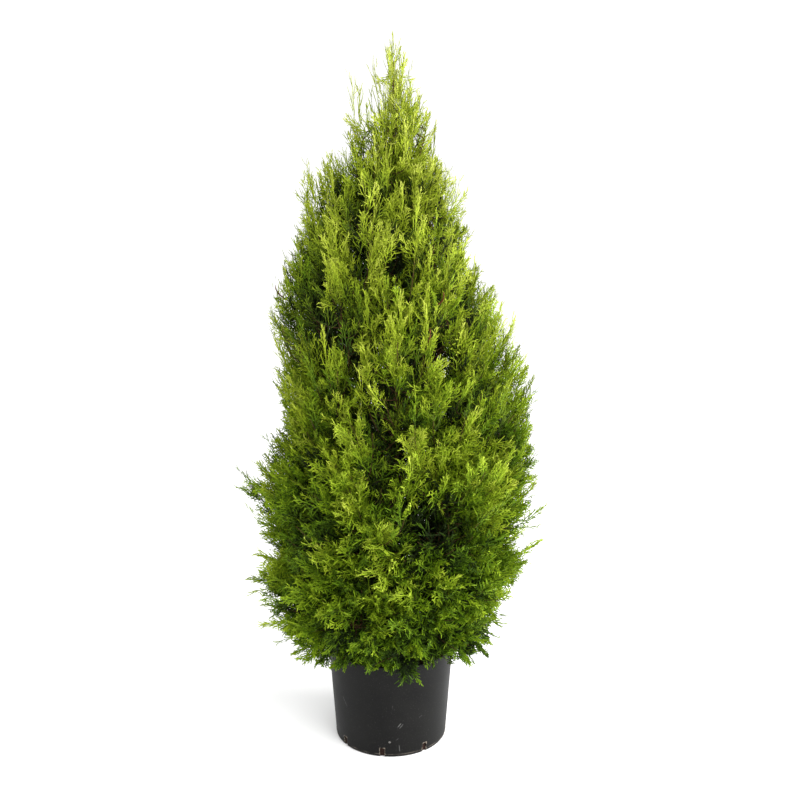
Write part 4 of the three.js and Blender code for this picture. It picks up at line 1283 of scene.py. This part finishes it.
# The pattern of each fan: a full one, or an open one inside the crown and for some fans near its top.
def fanPatterns():
    look = branchletLook
    chance = seeded(fans["seed"] + 16)
    full = np.floor(chance * look["patterns"]).astype(int)
    opened = look["patterns"] + np.floor(chance * look["innerPatterns"]).astype(int)
    airy = seeded(fans["seed"] + 27) < np.interp(fans["start"][:, 2], *look["airy"])
    return np.where(fans["inner"] | airy, opened, full)


# The strips of all fans by tint: those further out in a fan are brighter as painted light, the foot of each
# strip darker as painted shade, and each a little by chance.
def dealStrips():
    look = branchletLook
    bright, pattern = fanBrightness(), fanPatterns()
    high = seeded(fans["seed"] + 33) < np.interp(fans["start"][:, 2], *tintRule["change"])
    footZone, tipZone = -look["footShade"] / look["zoneStep"], look["tipLight"] / look["zoneStep"]
    found = [[] for _ in leafTints]
    for number in range(look["patterns"] + look["innerPatterns"]):
        chosen = np.nonzero(pattern == number)[0]
        kind = ("laterals", "subs") if number < look["patterns"] else ("innerLaterals", "innerSubs")
        strips, zone, subs, subZone = fanPattern(number, look[kind[0]], look[kind[1]])
        widths = np.array([look["width"], look["middleWidth"] * look["width"], look["tipWidth"]])
        corners = growStrips(strips, widths, stripSides(strips, 70 + number), chosen)
        subCorners = growStrips(subs, widths[[0, 2]], stripSides(subs, 170 + number), chosen)
        lots = [
            (corners[:, :, :2], zone + footZone), (corners[:, :, 1:], zone + tipZone),
            (subCorners, subZone + tipZone),
        ]
        for lot, place in lots:
            level = bright[chosen][:, None] + look["zoneStep"] * (place[None, :] - look["middleZone"])
            chance = fans["seed"][chosen][:, None] * 1.7 + np.arange(len(place)) * 5.3 + number
            level = level + scatter(chance, look["speckle"])
            level = np.clip(np.rint(level), 0, tintRule["steps"] - 1).astype(int)
            level = level + tintRule["steps"] * high[chosen][:, None]
            for k in range(len(leafTints)):
                found[k].append(lot[level == k])
    return found


# One tint, a little darker to a little lighter by a fine grain.
def leafFinish(name, colour):
    finish = Finish(name, 0.65, tint(*colour), 0.1)
    grain = finish.patches(finish.objectPoint(), 330.0, 0.35, 0.65, 2, 0.5)
    darker = tint(*(0.82 * c for c in colour))
    lighter = tint(*(min(255, 1.1 * c) for c in colour))
    finish.paint(finish.blend(grain, darker, lighter))
    return finish.material


# The strips of each tint are joined, in pieces of fewer triangles than the limit.
def buildLeaves():
    for (name, colour), groups in zip(leafTints, dealStrips()):
        finish = leafFinish("leaf" + name[0].upper() + name[1:], colour)
        points, faces, total = [], [], 0
        for group in groups:
            if not len(group):
                continue
            strips, rows = group.shape[:2]
            faces.append(repeatFaces(gridFaces(rows, 2, False), strips, rows * 2, total))
            points.append(group.reshape(-1, 3))
            total += strips * rows * 2
        if not total:
            continue
        points, faces = np.concatenate(points), np.concatenate(faces)
        pieces = math.ceil(len(faces) * 2 / tintRule["pieceLimit"])
        for part, some in enumerate(np.array_split(faces, pieces)):
            low, high = some.min(), some.max() + 1
            piece = addMesh(f"leaves_{name}_{part + 1}", points[low:high], some - low, finish)
            settle(piece, massNodes)
        print(name, len(faces) * 2, "triangles")


buildLeaves()
print("leaves built")

twigLook = {
    "stemEnd": 0.72, "stemRings": 16, "stemSides": 8, "stemTaper": 0.5, "shootRings": 8, "shootSides": 5,
    "shootFoot": 0.0014, "shootTip": 0.0006, "leastFans": 3, "bareRadius": 0.0019, "bareTaper": 3.0,
    # bare pieces of twig at the crown's surface: turn in degrees, height and length
    "bare": [(-57, 1.175, 0.024), (-71, 1.105, 0.03), (40, 1.2, 0.03), (110, 1.0, 0.03), (170, 1.15, 0.03)],
}


# Streaks between a dark and a light brown.
def twigFinish(name, dark, light):
    finish = Finish(name, 0.85, tint(*dark), 0.08)
    streaks = finish.patches(finish.objectPoint((220, 220, 60)), 1.0, 0.35, 0.65)
    finish.paint(finish.blend(streaks, tint(*dark), tint(*light)))
    return finish.material


# Tapered tubes along many paths at once, as one mesh: radius = foot + (tip - foot) t^taper.
def addTwigs(name, path, footRadius, tipRadius, sides, finish, taper=1.0):
    along = unit(np.gradient(path, axis=1))
    first, second = squareTo(along)
    rings = path.shape[1]
    radius = footRadius + (tipRadius - footRadius) * np.linspace(0, 1, rings) ** taper
    radius = np.broadcast_to(radius[None, :, None], (len(path), rings, sides))
    points = tubePoints(path, radius, first, unit(second))
    faces = repeatFaces(gridFaces(rings + 2, sides, True), len(path), (rings + 2) * sides)
    settle(addMesh(name, points, faces, finish, True, True), massNodes)


# Bare twigs rise out of the crown: each ends on its surface, its foot being lower by a share of its length
# and further in.
def bareTwigs():
    turn, height, length = np.array(twigLook["bare"]).T
    rungs = [(0.8, 1.4), (0.97, 0.8), (1.0, 0.0)]
    points = [placeAt(np.radians(turn), height - drop * length, share) for share, drop in rungs]
    return np.stack(points, axis=1)


# A stem is bark as far as its leading shoot, and a shoot is drawn only where enough fans grow on it.
def buildTwigs():
    look = twigLook
    finish = twigFinish("redBrownTwig", (40, 31, 18), (78, 58, 34))
    path = np.array([stemAt(m, np.linspace(0, look["stemEnd"], look["stemRings"])) for m in masses])
    foot, tip = crownRule["footStemRadius"], crownRule["tipStemRadius"]
    addTwigs("stemTwigs", path, foot, tip, look["stemSides"], finish, look["stemTaper"])
    curves, seeds = np.concatenate([shootCurves, innerCurves]), np.concatenate([shootSeeds, innerSeeds])
    found, count = np.unique(fans["shootSeed"], return_counts=True)
    curves = curves[np.isin(seeds, found[count >= look["leastFans"]])]
    t = np.linspace(0, 1, look["shootRings"])[None, :]
    path, foot, tip = bend(curves[:, None], t), look["shootFoot"], look["shootTip"]
    addTwigs("shootTwigs", path, foot, tip, look["shootSides"], finish)
    bareFinish = twigFinish("bareRedTwig", (62, 34, 22), (112, 68, 44))
    path, foot, sides = bend(bareTwigs()[:, None], t), look["bareRadius"], look["stemSides"]
    addTwigs("bareTwigs", path, foot, tip, sides, bareFinish, look["bareTaper"])


buildTwigs()
print("twigs built")

stageLook = {
    "floorHalf": 60.0, "floorColour": (252, 252, 252), "worldStrength": 1.15,
    # name, place, size and power of each light, and what it points at
    "lights": [
        ("key", (3.4, -4.3, 5.2), 5.0, 455, (0, 0, 0.8)), ("fill", (0.2, -4.3, 2.0), 2.4, 62, (0, 0, 0.8)),
        ("side", (2.8, -0.7, 0.9), 1.4, 100, (0, 0, 0.3)),
    ],
    "cameraPlace": (0, -2.77, 1.6), "cameraDown": 14.6, "cameraYaw": -0.48, "lens": 53.55,
}


# A round light at a place, turned to its target.
def addLight(name, place, size, power, target):
    light = bpy.data.lights.new(name, "AREA")
    light.shape, light.size, light.energy = "DISK", size, power
    made = bpy.data.objects.new(name, light)
    made.location = place
    way = np.array(target) - np.array(place)
    tilt = math.atan2(math.hypot(way[0], way[1]), -way[2])
    made.rotation_euler = (tilt, 0, math.atan2(way[1], way[0]) + math.pi * 1.5)
    bpy.context.scene.collection.objects.link(made)


# A pale floor, an even white world, the lights and the camera of the photo.
def buildStage():
    scene = bpy.context.scene
    half = stageLook["floorHalf"]
    corners = np.array([[-half, -half, 0], [half, -half, 0], [half, half, 0], [-half, half, 0]])
    floorFinish = Finish("paleFloor", 1.0, tint(*stageLook["floorColour"]), 0.0)
    floor = addMesh("studioFloor", corners, np.array([[0, 1, 2, 3]]), floorFinish.material)
    world = bpy.data.worlds.new("studio")
    world.use_nodes = True
    back = world.node_tree.nodes["Background"]
    back.inputs["Color"].default_value = (1, 1, 1, 1)
    back.inputs["Strength"].default_value = stageLook["worldStrength"]
    scene.world = world
    for light in stageLook["lights"]:
        addLight(*light)
    lens = bpy.data.cameras.new("camera")
    lens.lens = stageLook["lens"]
    lens.clip_end = 100
    camera = bpy.data.objects.new("camera", lens)
    camera.location = stageLook["cameraPlace"]
    yaw = math.radians(stageLook["cameraYaw"])
    camera.rotation_euler = (math.radians(90 - stageLook["cameraDown"]), 0, yaw)
    scene.collection.objects.link(camera)
    scene.camera = camera
    scene.view_settings.view_transform = "Standard"


buildStage()
print("stage set")
